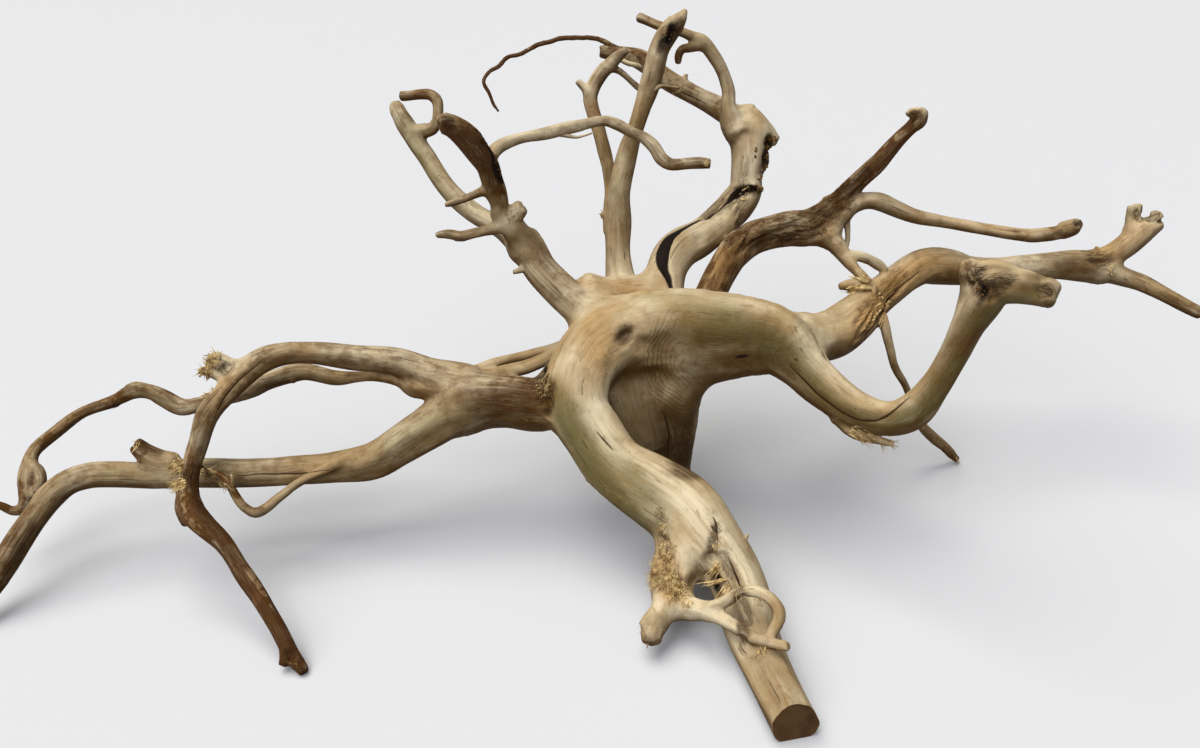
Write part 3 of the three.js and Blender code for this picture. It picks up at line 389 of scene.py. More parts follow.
# Tones that lie on parts of the wood, as strokes of (column, row, radius in pixels, amount)
STROKES = {
    # Black rot, and painted shade inside the hollow ends, the hole in the stem and the cracks
    "char": [
        [(677, 22, 5, 0.6), (672, 31, 8, 1.0), (664, 44, 7, 0.9), (660, 50, 4, 0.5)],
        [(548, 362, 5, 0.9), (541, 376, 8, 1.0)], [(738, 190, 4, 0.6), (752, 190, 5, 0.8)],
        [(769, 142, 5, 0.8), (766, 158, 5, 0.8), (763, 172, 4, 0.6)],
        [(496, 160, 4, 0.7), (501, 176, 5, 0.9)], [(1160, 221, 3, 0.6)],
        [(712, 572, 5, 0.6), (717, 582, 8, 0.9), (720, 596, 7, 0.9)],
        [(979, 280, 3, 0.7), (985, 292, 5, 0.9), (980, 303, 3, 0.6)],
        [(993, 282, 3, 0.6), (998, 296, 4, 0.7)], [(1076, 225, 3, 0.7), (1081, 222, 2, 0.7)],
        [(240, 490, 3, 0.5)], [(134, 441, 6, 0.7)],
    ],
    # Dark wood, and painted shade in the hollow under the arch, on the left trunk beside the body and in the
    # dent by the stock
    "brown": [
        [(628, 328, 7, 0.8), (623, 340, 9, 0.7)], [(640, 390, 24, 0.35), (660, 420, 26, 0.6)],
        [(672, 430, 28, 0.8), (684, 470, 22, 1.0)], [(205, 395, 10, 0.4), (198, 440, 14, 0.5)],
        [(194, 470, 12, 0.9), (200, 500, 14, 1.0), (215, 530, 14, 0.9)],
        [(216, 536, 12, 0.9), (228, 558, 13, 1.0), (246, 590, 13, 0.9)],
        [(262, 610, 10, 0.8), (280, 640, 12, 1.0), (296, 668, 12, 1.0)],
        [(158, 452, 8, 0.7), (147, 446, 10, 1.0), (134, 440, 11, 1.0)],
        [(24, 530, 14, 0.7), (8, 562, 14, 0.6)],
        [(446, 124, 10, 1.0), (466, 134, 12, 1.0), (485, 155, 12, 1.0), (496, 180, 10, 0.9)],
        [(862, 345, 6, 0.3), (880, 312, 6, 0.3)], [(713, 568, 7, 0.6), (722, 585, 9, 0.7)],
        [(653, 647, 7, 0.9), (646, 644, 5, 0.7)], [(680, 25, 9, 0.9), (670, 38, 10, 0.9), (661, 50, 7, 0.6)],
        [(970, 266, 8, 0.4), (980, 290, 12, 0.45), (985, 310, 10, 0.3)], [(1000, 278, 12, 0.2)],
        [(1050, 290, 9, 0.45), (1050, 302, 8, 0.6)], [(728, 262, 16, 0.5), (714, 285, 14, 0.5)],
        [(745, 240, 14, 0.2), (800, 226, 18, 0.3), (840, 200, 14, 0.5)],
        [(738, 192, 8, 0.7), (756, 190, 8, 0.7)], [(612, 48, 6, 0.5), (622, 56, 6, 0.6)],
        [(548, 385, 12, 0.7), (520, 400, 22, 1.0), (490, 402, 22, 0.7), (465, 400, 14, 0.4)],
        [(90, 412, 8, 0.3), (60, 436, 8, 0.3)], [(914, 115, 7, 0.8), (905, 130, 7, 0.6)],
        [(1165, 298, 8, 0.3), (1195, 312, 8, 0.6)],
        [(895, 145, 8, 0.9), (870, 168, 8, 0.9), (850, 190, 9, 0.8)],
        [(360, 372, 12, 0.4), (290, 378, 10, 0.5), (255, 395, 10, 0.4)],
        [(768, 138, 7, 0.9), (766, 165, 6, 0.9)], [(1072, 262, 14, 0.3), (1100, 262, 12, 0.4)],
        [(716, 524, 4, 0.5), (713, 543, 6, 0.4)],
        [(709, 556, 9, 0.5), (700, 570, 11, 0.8), (690, 578, 9, 0.7), (676, 596, 6, 0.5)],
        [(492, 140, 10, 0.3)], [(535, 236, 12, 0.3), (548, 262, 14, 0.3)],
        [(600, 60, 6, 0.3), (608, 180, 8, 0.3)], [(735, 602, 6, 0.5), (744, 640, 8, 0.4)],
        [(240, 478, 5, 0.5), (250, 500, 5, 0.7), (262, 512, 5, 0.4)],
        [(672, 152, 5, 0.5), (700, 163, 4, 0.7)],
    ],
    # Painted shade on the body's lower face, the swan arm, the leg's left side and the undersides of other
    # arms
    "olive_painted_shade": [
        [(700, 334, 20, 1.0), (728, 336, 24, 1.0), (762, 340, 22, 1.0), (790, 352, 16, 0.9)],
        [
            (862, 414, 8, 0.6), (890, 419, 8, 0.8), (918, 410, 10, 0.8), (945, 385, 14, 0.9),
            (962, 352, 14, 0.9), (982, 320, 13, 0.9), (1003, 292, 12, 0.6),
        ],
        [
            (925, 408, 16, 0.8), (944, 386, 22, 1.0), (960, 356, 25, 1.0), (976, 328, 24, 1.0),
            (990, 304, 18, 0.9),
        ],
        [(690, 326, 26, 0.8), (722, 330, 32, 1.0), (755, 336, 30, 1.0), (785, 356, 24, 0.8)],
        [
            (690, 352, 20, 0.5), (730, 362, 26, 1.0), (770, 356, 26, 1.0), (800, 376, 18, 0.8),
            (830, 404, 13, 0.8), (862, 422, 11, 1.0), (890, 430, 10, 1.0), (915, 424, 10, 1.0),
            (938, 402, 10, 1.0), (958, 370, 10, 1.0), (976, 335, 11, 1.0), (1000, 308, 12, 0.9),
            (1040, 303, 8, 0.6),
        ],
        [(700, 385, 24, 0.8), (690, 420, 20, 0.9)],
        [
            (556, 395, 14, 0.5), (568, 425, 20, 0.8), (590, 465, 22, 0.9), (625, 505, 20, 0.8),
            (648, 530, 14, 0.5),
        ],
        [(624, 474, 15, 0.4), (644, 500, 15, 0.4)],
        [(545, 400, 18, 0.8), (480, 415, 16, 0.7), (430, 438, 14, 0.6), (370, 468, 12, 0.5)],
        [(1030, 276, 10, 0.7), (1090, 280, 12, 0.8)],
        [(992, 300, 18, 0.9), (1012, 292, 18, 0.8), (1032, 290, 14, 0.8)],
        [(1060, 272, 12, 0.6), (1085, 274, 13, 0.7)],
        [(625, 240, 10, 0.4), (632, 160, 9, 0.5), (650, 100, 9, 0.5)], [(700, 288, 12, 0.4)],
        [(880, 262, 8, 0.3)], [(270, 482, 10, 0.6), (200, 486, 8, 0.6), (130, 484, 8, 0.5)],
    ],
    # Painted reflected light: a green tint on the shaded sides of the leg, the body and the arms
    "green": [
        [(480, 405, 10, 0.4), (450, 415, 14, 0.6), (410, 432, 13, 0.6), (370, 455, 10, 0.5)],
        [
            (552, 388, 16, 0.6), (562, 415, 22, 1.0), (584, 455, 25, 1.0), (612, 492, 25, 1.0),
            (640, 522, 19, 0.9),
        ],
        [(608, 446, 15, 0.5), (630, 476, 20, 0.9), (648, 500, 20, 0.9), (662, 522, 16, 0.7)],
        [
            (690, 325, 16, 0.5), (720, 322, 20, 0.7), (755, 335, 20, 0.7), (790, 352, 18, 0.8),
            (820, 388, 12, 0.8), (850, 412, 11, 0.8), (890, 424, 10, 0.7), (930, 404, 12, 0.8),
            (955, 365, 12, 0.7),
        ],
        [(975, 325, 11, 0.8), (1005, 302, 11, 0.9), (1035, 296, 9, 0.7)],
        [(402, 120, 10, 0.6), (412, 140, 11, 0.8), (424, 168, 11, 0.9), (442, 194, 11, 0.7)],
        [(125, 388, 8, 0.8), (165, 398, 9, 0.7)],
        [(100, 476, 10, 0.6), (150, 470, 10, 0.4), (240, 462, 12, 0.4)],
        [(603, 130, 8, 0.5), (612, 190, 8, 0.5)], [(1010, 268, 10, 0.5)],
        [(650, 296, 18, 0.4), (690, 300, 20, 0.6), (730, 312, 20, 0.6)],
        [(335, 390, 8, 0.5), (300, 398, 8, 0.4)],
    ],
    # Dull brown wood, and painted shade in the broad hollow under the arch
    "dusk": [
        [
            (640, 340, 22, 0.6), (662, 330, 22, 0.6), (680, 345, 26, 0.7), (655, 372, 26, 0.9),
            (668, 400, 28, 1.0), (680, 440, 24, 1.0), (690, 470, 16, 1.0),
        ],
        [(470, 392, 20, 0.5), (430, 406, 22, 0.6), (392, 424, 20, 0.5)],
        [
            (722, 560, 8, 0.4), (735, 590, 12, 0.5), (748, 620, 16, 0.6), (765, 660, 20, 0.7),
            (785, 700, 18, 0.7),
        ],
        [(1040, 240, 12, 0.2), (1060, 262, 12, 0.7), (1095, 266, 12, 0.6)],
        [(645, 85, 12, 0.4), (700, 100, 12, 0.5), (724, 118, 10, 0.4)],
        [(672, 612, 12, 0.4), (655, 640, 10, 0.5)],
        [(545, 262, 12, 0.4), (525, 232, 12, 0.6), (560, 285, 12, 0.5)],
        [(815, 335, 12, 0.4), (800, 320, 12, 0.3)],
    ],
    "ochre": [
        [(712, 285, 14, 0.8), (730, 255, 16, 1.0), (750, 240, 12, 0.5)],
        [(600, 285, 16, 0.5), (625, 290, 16, 0.6), (648, 292, 10, 0.4)],
        [(596, 320, 20, 0.5), (598, 360, 20, 0.7), (592, 385, 14, 0.4)],
        [
            (850, 345, 20, 0.7), (872, 312, 20, 0.9), (895, 283, 18, 0.9), (925, 264, 16, 0.7),
            (960, 268, 12, 0.3),
        ],
        [(1110, 250, 16, 0.4), (1140, 228, 12, 0.4)], [(660, 560, 16, 0.9), (674, 590, 16, 1.0)],
        [(280, 366, 14, 0.3), (225, 385, 14, 0.6), (210, 420, 12, 0.5)],
        [(240, 575, 10, 0.6), (262, 600, 10, 0.6)], [(546, 392, 12, 0.5)],
        [(760, 118, 12, 0.4), (740, 150, 14, 0.4)], [(340, 372, 12, 0.4), (430, 388, 8, 0.3)],
        [(655, 350, 18, 0.3)], [(590, 230, 16, 0.2)],
        [(865, 205, 10, 0.3), (940, 220, 8, 0.4), (1030, 236, 8, 0.5)],
    ],
    # Pale worn wood, and painted light on faces such as the cracked arm's upper part and the knuckle
    "pale": [
        [(662, 556, 12, 0.8), (668, 575, 14, 0.9), (680, 592, 12, 0.7)],
        [(800, 222, 8, 0.4), (760, 232, 8, 0.4)],
        [
            (676, 474, 14, 0.4), (694, 502, 22, 0.8), (722, 535, 18, 1.0), (745, 570, 16, 1.0),
            (760, 600, 14, 0.6),
        ],
        [(590, 370, 14, 0.5), (598, 420, 12, 0.6), (620, 455, 14, 0.6)],
        [(748, 184, 12, 1.0), (748, 160, 16, 1.0), (746, 135, 16, 1.0), (738, 112, 10, 0.7)],
        [(700, 240, 12, 0.5), (680, 270, 14, 0.7), (676, 292, 10, 0.6)],
        [(505, 226, 12, 0.9), (518, 210, 8, 0.8)], [(510, 140, 8, 0.5), (590, 124, 8, 0.5)],
        [(545, 270, 12, 0.3), (570, 300, 14, 0.3)], [(880, 206, 6, 0.5), (980, 226, 7, 1.0)],
        [(700, 298, 9, 0.5), (770, 308, 8, 0.4)], [(402, 112, 8, 0.6)],
        [(800, 345, 12, 0.5), (840, 382, 10, 0.6), (880, 402, 8, 0.5)],
        [(662, 606, 12, 0.7), (690, 612, 8, 0.7), (720, 622, 6, 0.6), (770, 644, 5, 0.5)],
        [(932, 352, 5, 0.4), (950, 310, 4, 0.3)], [(735, 100, 7, 0.5), (720, 60, 7, 0.5)],
        [(1125, 245, 10, 0.5), (1145, 222, 8, 0.5)], [(470, 385, 12, 0.3), (400, 360, 10, 0.3)],
    ],
    "rough": [
        [(660, 514, 6, 0.4), (663, 535, 8, 0.5), (664, 560, 14, 0.9), (676, 590, 13, 0.9)],
        [(544, 385, 12, 1.0), (548, 410, 10, 0.8)],
        [
            (736, 244, 14, 0.9), (760, 235, 18, 1.0), (790, 228, 20, 1.0), (815, 220, 20, 1.0),
            (842, 200, 15, 1.0), (865, 176, 9, 0.7),
        ],
        [(716, 580, 9, 0.7)], [(624, 338, 12, 0.5)],
        [(858, 345, 12, 0.5), (870, 318, 16, 0.6), (885, 295, 14, 0.7), (900, 276, 12, 0.6)],
        [(972, 268, 10, 0.9), (985, 290, 14, 1.0), (1010, 278, 12, 0.8)], [(1045, 292, 10, 0.9)],
        [(228, 368, 10, 0.7), (212, 360, 10, 1.0)], [(205, 374, 6, 0.9)], [(186, 478, 8, 0.7)],
        [(1140, 215, 9, 0.7), (1156, 218, 9, 0.9)], [(450, 124, 9, 0.9)],
        [(724, 556, 7, 0.4), (736, 585, 8, 0.6), (746, 615, 9, 0.6), (742, 650, 8, 0.6)],
        [(716, 530, 7, 0.8), (713, 548, 7, 0.6)], [(768, 142, 7, 1.0), (764, 172, 6, 1.0)],
        [(745, 190, 10, 0.8), (725, 202, 12, 0.8), (708, 214, 10, 0.7)],
        [(1085, 250, 10, 0.5), (1104, 262, 12, 0.8)], [(914, 116, 8, 0.8)], [(668, 36, 10, 0.9)],
        [(484, 148, 10, 0.5)], [(290, 655, 9, 0.7)], [(738, 246, 8, 0.6), (745, 160, 6, 0.3)],
    ],
    "ripple": [
        [
            (672, 318, 12, 0.5), (655, 338, 15, 0.9), (652, 368, 17, 1.0), (668, 398, 18, 1.0),
            (690, 415, 16, 0.6),
        ],
        [(672, 345, 14, 0.7), (680, 380, 18, 0.8)],
    ],
}
SOFT_TONES = ("olive_painted_shade", "green", "dusk", "pale", "ochre")  # the tones whose edges are soft

# How dark each arm's own bark stain is, from its first end to its last, as (share of its length, amount)
STAINED = {
    "upper_left_arm": [(0, 0.4), (0.4, 0.45), (0.55, 0.5), (0.66, 0.9), (1, 1.0)],
    "thin_left_root": [(0, 0.4), (0.45, 0.4), (0.6, 0.5), (0.72, 0.75), (1, 0.6)],
    "thin_root_fold": [(0, 0.3), (1, 0.6)],
    "thin_root_tip": [(0, 0.7), (1, 0.9)],
    "lower_left_arm": [(0, 0.3), (0.6, 0.3), (0.8, 0.5), (1, 0.8)],
    "left_trunk": [(0, 0.9), (0.6, 0.6), (1, 0.3)],
    "bent_arm": [(0, 0.1), (0.3, 0.8), (1, 1.0)],
    "curl": [(0, 0.3), (1, 0.6)],
    "leaning_arm": [(0, 0.2), (0.6, 0.45), (1, 0.45)],
    "leaning_arm_end": [(0, 0.3), (0.6, 0.25), (1, 0.4)],
    "whip": [(0, 0.8), (1, 1.0)],
    "hooked_twig": [(0, 0.15), (0.6, 0.5), (1, 0.9)],
    "hooked_arm": [(0, 0.1), (0.6, 0.25), (1, 0.7)],
    "hooked_arm_twig": [(0, 0.4), (1, 0.8)],
    "upright_arm": [(0, 0.15), (1, 0.3)],
    "upright_companion": [(0, 0.3), (1, 0.4)],
    "hanging_elbow": [(0, 0.6), (1, 0.95)],
    "hanging_tip": [(0, 0.95), (1, 1.0)],
    "thin_elbow": [(0, 0.5), (1, 0.5)],
    "raised_arm": [(0, 0.8), (1, 1.0)],
    "level_arm": [(0, 0.15), (0.8, 0.35), (1, 0.7)],
    "long_twig": [(0, 0.3), (0.6, 0.3), (1, 0.5)],
    "swan_arm_horn": [(0, 0.3), (1, 0.8)],
    "lower_arm_stub": [(0, 0.2), (1, 1.0)],
    "companion_twig": [(0, 0.5), (1, 0.6)],
    "drooping_end": [(0, 0.3), (1, 0.5)],
    "far_arm": [(0, 0.4), (0.7, 0.6), (1, 0.7)],
    "gnarled_arm": [(0, 0.75), (0.3, 0.6), (1, 0.5)],
    "right_arm": [(0, 0.1), (0.3, 0.2), (0.5, 0.25), (1, 0.3)],
    "forked_end": [(0, 0.2), (1, 0.3)],
    "arching_twig": [(0, 0.1), (0.5, 0.3), (1, 0.6)],
    "upper_twig": [(0, 0.3), (1, 0.5)],
    "lower_twig": [(0, 0.2), (1, 0.6)],
    "knuckle_stub": [(0, 0.1), (1, 0.5)],
}
PLAIN_STAIN = 0.08  # the stain of every other arm

# How wide the patterns of two arms are blended at a fork, and the stain's
BLEND, STAIN_BLEND = 9.0, 8.0
GRAIN_SPACING = 700.0  # how far apart the arms' grain is taken from the noise, so that none repeats another's

# The middle of the ripples in the hollow's grain, as (column, row, reach)
RIPPLE_CENTRE = (708, 352, 700)
RIPPLE_WIDTH = 0.0031  # metres from ripple to ripple, as the next one is from growth ring to growth ring
RING_WIDTH = 0.001745
WOOD_IOR = 1.45

# Tufts of torn fibre, as (column, row, count, length, thickness, flatness, spread in pixels, and the way that
# they point as a step in column and in row), the sizes in millimetres
TUFTS = [
    (212, 360, 90, 6, 0.4, 1.7, 8, -0.5, -0.5), (206, 374, 80, 6, 0.4, 1.7, 7, -0.8, 0.4),
    (178, 466, 110, 7, 0.4, 1.7, 6, -0.3, 0.2), (180, 484, 110, 7, 0.4, 1.7, 6, -0.5, 0.5),
    (206, 474, 40, 10, 0.3, 1.7, 6, 1.0, 0.3), (222, 484, 26, 9, 0.25, 1.7, 5, 0.8, 0.6),
    (668, 548, 60, 4.0, 0.25, 1.6, 10, -0.4, 0.4), (662, 568, 420, 6.5, 0.17, 1.5, 14, -0.4, 0.6),
    (672, 588, 380, 7, 0.17, 1.5, 13, 0.1, 0.9), (656, 580, 140, 7, 0.17, 1.6, 9, -0.8, 0.5),
    (686, 600, 50, 6, 0.25, 1.6, 7, 0.6, 0.8), (663, 528, 50, 2.4, 0.22, 1.5, 6, -0.2, 0.5),
    (660, 512, 36, 2.2, 0.2, 1.5, 5, -0.2, 0.5), (716, 568, 30, 12, 0.2, 1.5, 6, -0.7, 0.8),
    (762, 650, 30, 7, 0.25, 1.7, 5, 0.0, 1.0), (762, 602, 20, 5, 0.2, 1.7, 5, -0.8, 0.6),
    (544, 388, 60, 3.6, 0.22, 1.6, 9, -0.3, 0.3), (600, 350, 24, 2.2, 0.18, 1.6, 12, 0.3, 0.5),
    (866, 437, 50, 8, 0.25, 1.7, 8, 1.0, 0.3), (886, 442, 40, 8, 0.25, 1.7, 7, 1.0, 0.2),
    (512, 216, 40, 3.5, 0.22, 1.7, 9, 0.4, -0.4), (603, 215, 14, 4, 0.22, 1.7, 3, -1.0, -0.1),
    (134, 441, 10, 4, 0.25, 1.7, 5, -0.9, -0.4), (957, 459, 10, 5, 0.25, 1.7, 2, 0.6, 0.8),
    (640, 630, 16, 4, 0.22, 1.7, 4, -0.8, 0.5), (716, 545, 20, 5, 0.2, 1.7, 4, 0.3, 0.9),
    (738, 590, 24, 4, 0.2, 1.7, 8, -0.3, 0.9), (676, 91, 20, 5, 0.22, 1.7, 5, 0.9, 0.1),
    (610, 133, 10, 4, 0.2, 1.7, 3, 0.9, -0.3), (706, 163, 24, 3.5, 0.22, 1.7, 3, 1.0, 0.1),
]

# Flat splinters, listed the same way
SPLINTERS = [
    (724, 580, 12, 20, 0.36, 2.2, 4, -1.0, 0.3), (726, 590, 12, 20, 0.36, 2.2, 4, -0.55, 0.85),
    (718, 566, 9, 15, 0.3, 2.0, 4, -0.5, 0.9), (868, 286, 9, 20, 0.7, 3.0, 6, -1.0, -0.05),
    (872, 278, 6, 15, 0.6, 3.0, 5, -0.8, -0.5), (856, 290, 6, 14, 0.6, 2.8, 4, -1.0, 0.15),
    (884, 300, 8, 14, 0.5, 3.0, 8, -0.75, 0.65), (880, 318, 8, 12, 0.5, 3.0, 8, -0.6, 0.8),
    (215, 358, 6, 6, 0.5, 2.2, 5, -0.8, -0.6), (645, 646, 5, 5, 0.5, 2.2, 4, -0.3, 1.0),
    (136, 446, 6, 5, 0.5, 2.2, 4, -0.9, -0.2), (856, 432, 12, 13, 0.45, 2.6, 6, 1.0, 0.45),
    (1112, 270, 6, 6, 0.5, 2.4, 5, 0.4, 0.9), (745, 196, 6, 8, 0.5, 2.8, 6, 0.9, -0.3),
]
LONG_FIBRE = 10  # millimetres, above which a fibre is stiff

# Crumbs of rotten wood, as (column, row, count, size in millimetres, spread in pixels)
CRUMBS = [
    (772, 139, 20, 3.0, 4), (769, 148, 20, 3.0, 3), (767, 158, 20, 3.0, 3), (765, 168, 18, 2.8, 3),
    (761, 178, 14, 2.6, 3), (760, 189, 14, 2.8, 3), (750, 190, 5, 1.6, 3), (502, 172, 16, 2.2, 5),
    (498, 160, 14, 2.2, 5), (984, 290, 14, 2.6, 7), (1158, 220, 5, 2.0, 3), (668, 34, 12, 2.0, 6),
    (716, 575, 16, 2.4, 7), (292, 664, 14, 2.2, 7), (140, 446, 8, 2.2, 4), (544, 372, 10, 2.2, 6),
]

# Small forms that only the skin has, listed like the arms
SMALL_FORMS = {
    "head_horn_tip": [(974, 276, 612, 11), (969, 266, 611, 7.5), (966, 260, 611, 3.5)],
    "hanging_elbow": [(193, 500, 654, 10), (186.5, 509, 652, 9.5), (184, 516, 651, 6), (190, 523, 649, 8)],
    "thin_elbow": [(142, 393, 715.5, 6.5), (136, 388.5, 715, 6), (128, 392, 714, 6)],
    "hanging_tip": [(287, 652, 604, 7), (284, 662, 602, 5.5), (282, 666, 601, 3)],
    "head_top": [(976, 270, 610, 8), (990, 266, 607, 6.5), (1004, 268, 604, 6.5), (1014, 272, 602, 6)],
    "head_boss": [(1018, 282, 598, 9), (1030, 280, 596, 7.5), (1036, 283, 595, 6)],
    "head_lip": [(1044, 283, 593, 6.5), (1053, 284, 591, 5), (1057, 290, 591, 4)],
    "shoulder_point": [(760, 128, 766, 8), (769, 132, 767, 5.5), (778, 138, 767, 1.6)],
    "shoulder_rim": [(764, 150, 764, 5), (765, 162, 764, 4), (762, 172, 764, 3.4), (759, 180, 764, 2.6)],
    "crack_rim_nub": [(752, 187, 760, 5), (759, 189, 760, 3.6), (762, 192, 760, 2.6)],
    "stub_prong": [(655, 612, 614, 6.5), (646, 621, 611, 4.6), (640, 626, 609, 2.6)],
    "level_arm_tip": [(1060, 230.5, 764, 7.4), (1071, 227.5, 762, 7.4), (1078, 225.5, 761, 6)],
    "knot_by_slit": [(706, 104, 774, 5), (709, 99, 773, 4)],
    "forked_rim": [(1150, 216, 779, 5), (1157, 215, 778, 4.2), (1161, 219, 778, 3.4)],
    "raised_arm_boss": [(915, 116, 738, 6), (921, 113, 738, 5.4), (924, 118, 739, 4.6)],
    "bent_arm_boss": [(452, 122, 661, 6), (443, 119, 660, 5), (438, 123, 660, 4)],
    "tuft_boss": [(224, 366, 676, 7), (214, 358, 676, 5), (208, 366, 676, 3.4), (204, 374, 677, 3)],
}

MOST_MOVE = 6  # millimetres that a point of the skin moves at once towards the arms' bark
SAWN_FLATNESS = 2e-5  # metres, how near to the plane of a cut a face of it lies

# The lamps: soft suns, each with its name, the way to it, its angle in degrees, its strength and its tint
LAMPS = (
    ("key", (-0.3, 0.15, 1.0), 50, 2.65, "#FFFCF5"),
    ("front", (-0.5, -1.0, 0.9), 60, 1.85, "#FBFAFF"),
)
FLOOR_HALF = 30  # metres from the middle of the floor to its edges
FLOOR_GAP = 0.0003  # metres that the floor lies lower than the foot
SENSOR = 36.0  # millimetres, the width of the camera's sensor


def linear(hex_colour):
    """An sRGB hex colour as linear red, green, blue and alpha."""
    parts = [int(hex_colour[i:i + 2], 16) / 255 for i in (1, 3, 5)]
    return tuple([c / 12.92 if c <= 0.04045 else ((c + 0.055) / 1.055) ** 2.4 for c in parts] + [1.0])


def unit(vectors):
    """Vectors brought to a length of one."""
    return vectors / np.maximum(np.linalg.norm(vectors, axis=-1, keepdims=True), 1e-9)


def place(column, row, reach):
    """The point of the picture at a reach from the standpoint, in millimetres."""
    across = (column - PICTURE[0] / 2) / FOCAL_PIXELS * reach
    up = (PICTURE[1] / 2 - row) / FOCAL_PIXELS * reach
    return EYE + FORWARD * reach + UPWARD * up + np.array([across, 0.0, 0.0])


def reach_of(point):
    """How far a point is from the standpoint, measured straight ahead."""
    return float((point - EYE) @ FORWARD)


def sight(column, row):
    """The direction in which the standpoint sees a point of the picture."""
    return unit(place(column, row, 1.0) - EYE)


def smooth(low, high, value):
    """0 below low, 1 above high, and a smooth rise between them."""
    t = np.clip((value - low) / (high - low), 0, 1)
    return t * t * (3 - 2 * t)


def woven(points, seed):
    """Smooth random values from 0 to 1 on a lattice of unit cells, repeatable from the seed."""
    cell = np.floor(points).astype(np.int64)
    part = points - cell
    part = part * part * (3 - 2 * part)
    total = np.zeros(len(points))
    for corner in range(8):
        bits = np.array([corner & 1, corner >> 1 & 1, corner >> 2 & 1])
        at = cell + bits
        mixed = (at[:, 0] * 73856093) ^ (at[:, 1] * 19349663) ^ (at[:, 2] * 83492791) ^ (seed * 6971)
        mixed = (mixed ^ (mixed >> 13)) * 1274126177 & 0xFFFFFFFF
        mixed = ((mixed ^ (mixed >> 16)) * 668265263 & 0xFFFFFFFF) ^ (seed * 40503)
        value = (mixed & 0xFFFFFF) / 0xFFFFFF
        total += value * np.prod(np.where(bits, part, 1 - part), axis=1)
    return total


def hermite(x0, x1, x2, x3, gaps, t):
    """A cubic from x1 to x2 whose slopes come from its neighbours, spaced by gaps."""
    g0, g1, g2 = gaps
    slope1 = ((x1 - x0) / g0 - (x2 - x0) / (g0 + g1) + (x2 - x1) / g1) * g1
    slope2 = ((x2 - x1) / g1 - (x3 - x1) / (g1 + g2) + (x3 - x2) / g2) * g1
    t = t[:, None]
    cubic = 2 * x1 - 2 * x2 + slope1 + slope2
    square = -3 * x1 + 3 * x2 - 2 * slope1 - slope2
    return x1 + slope1 * t + square * t ** 2 + cubic * t ** 3


def twisted(coords, turn):
    """The two ways across an arm, turned about it by one radian every turn millimetres."""
    angle = coords[:, 0] / turn
    y = coords[:, 1] * np.cos(angle) - coords[:, 2] * np.sin(angle)
    return y, coords[:, 1] * np.sin(angle) + coords[:, 2] * np.cos(angle)


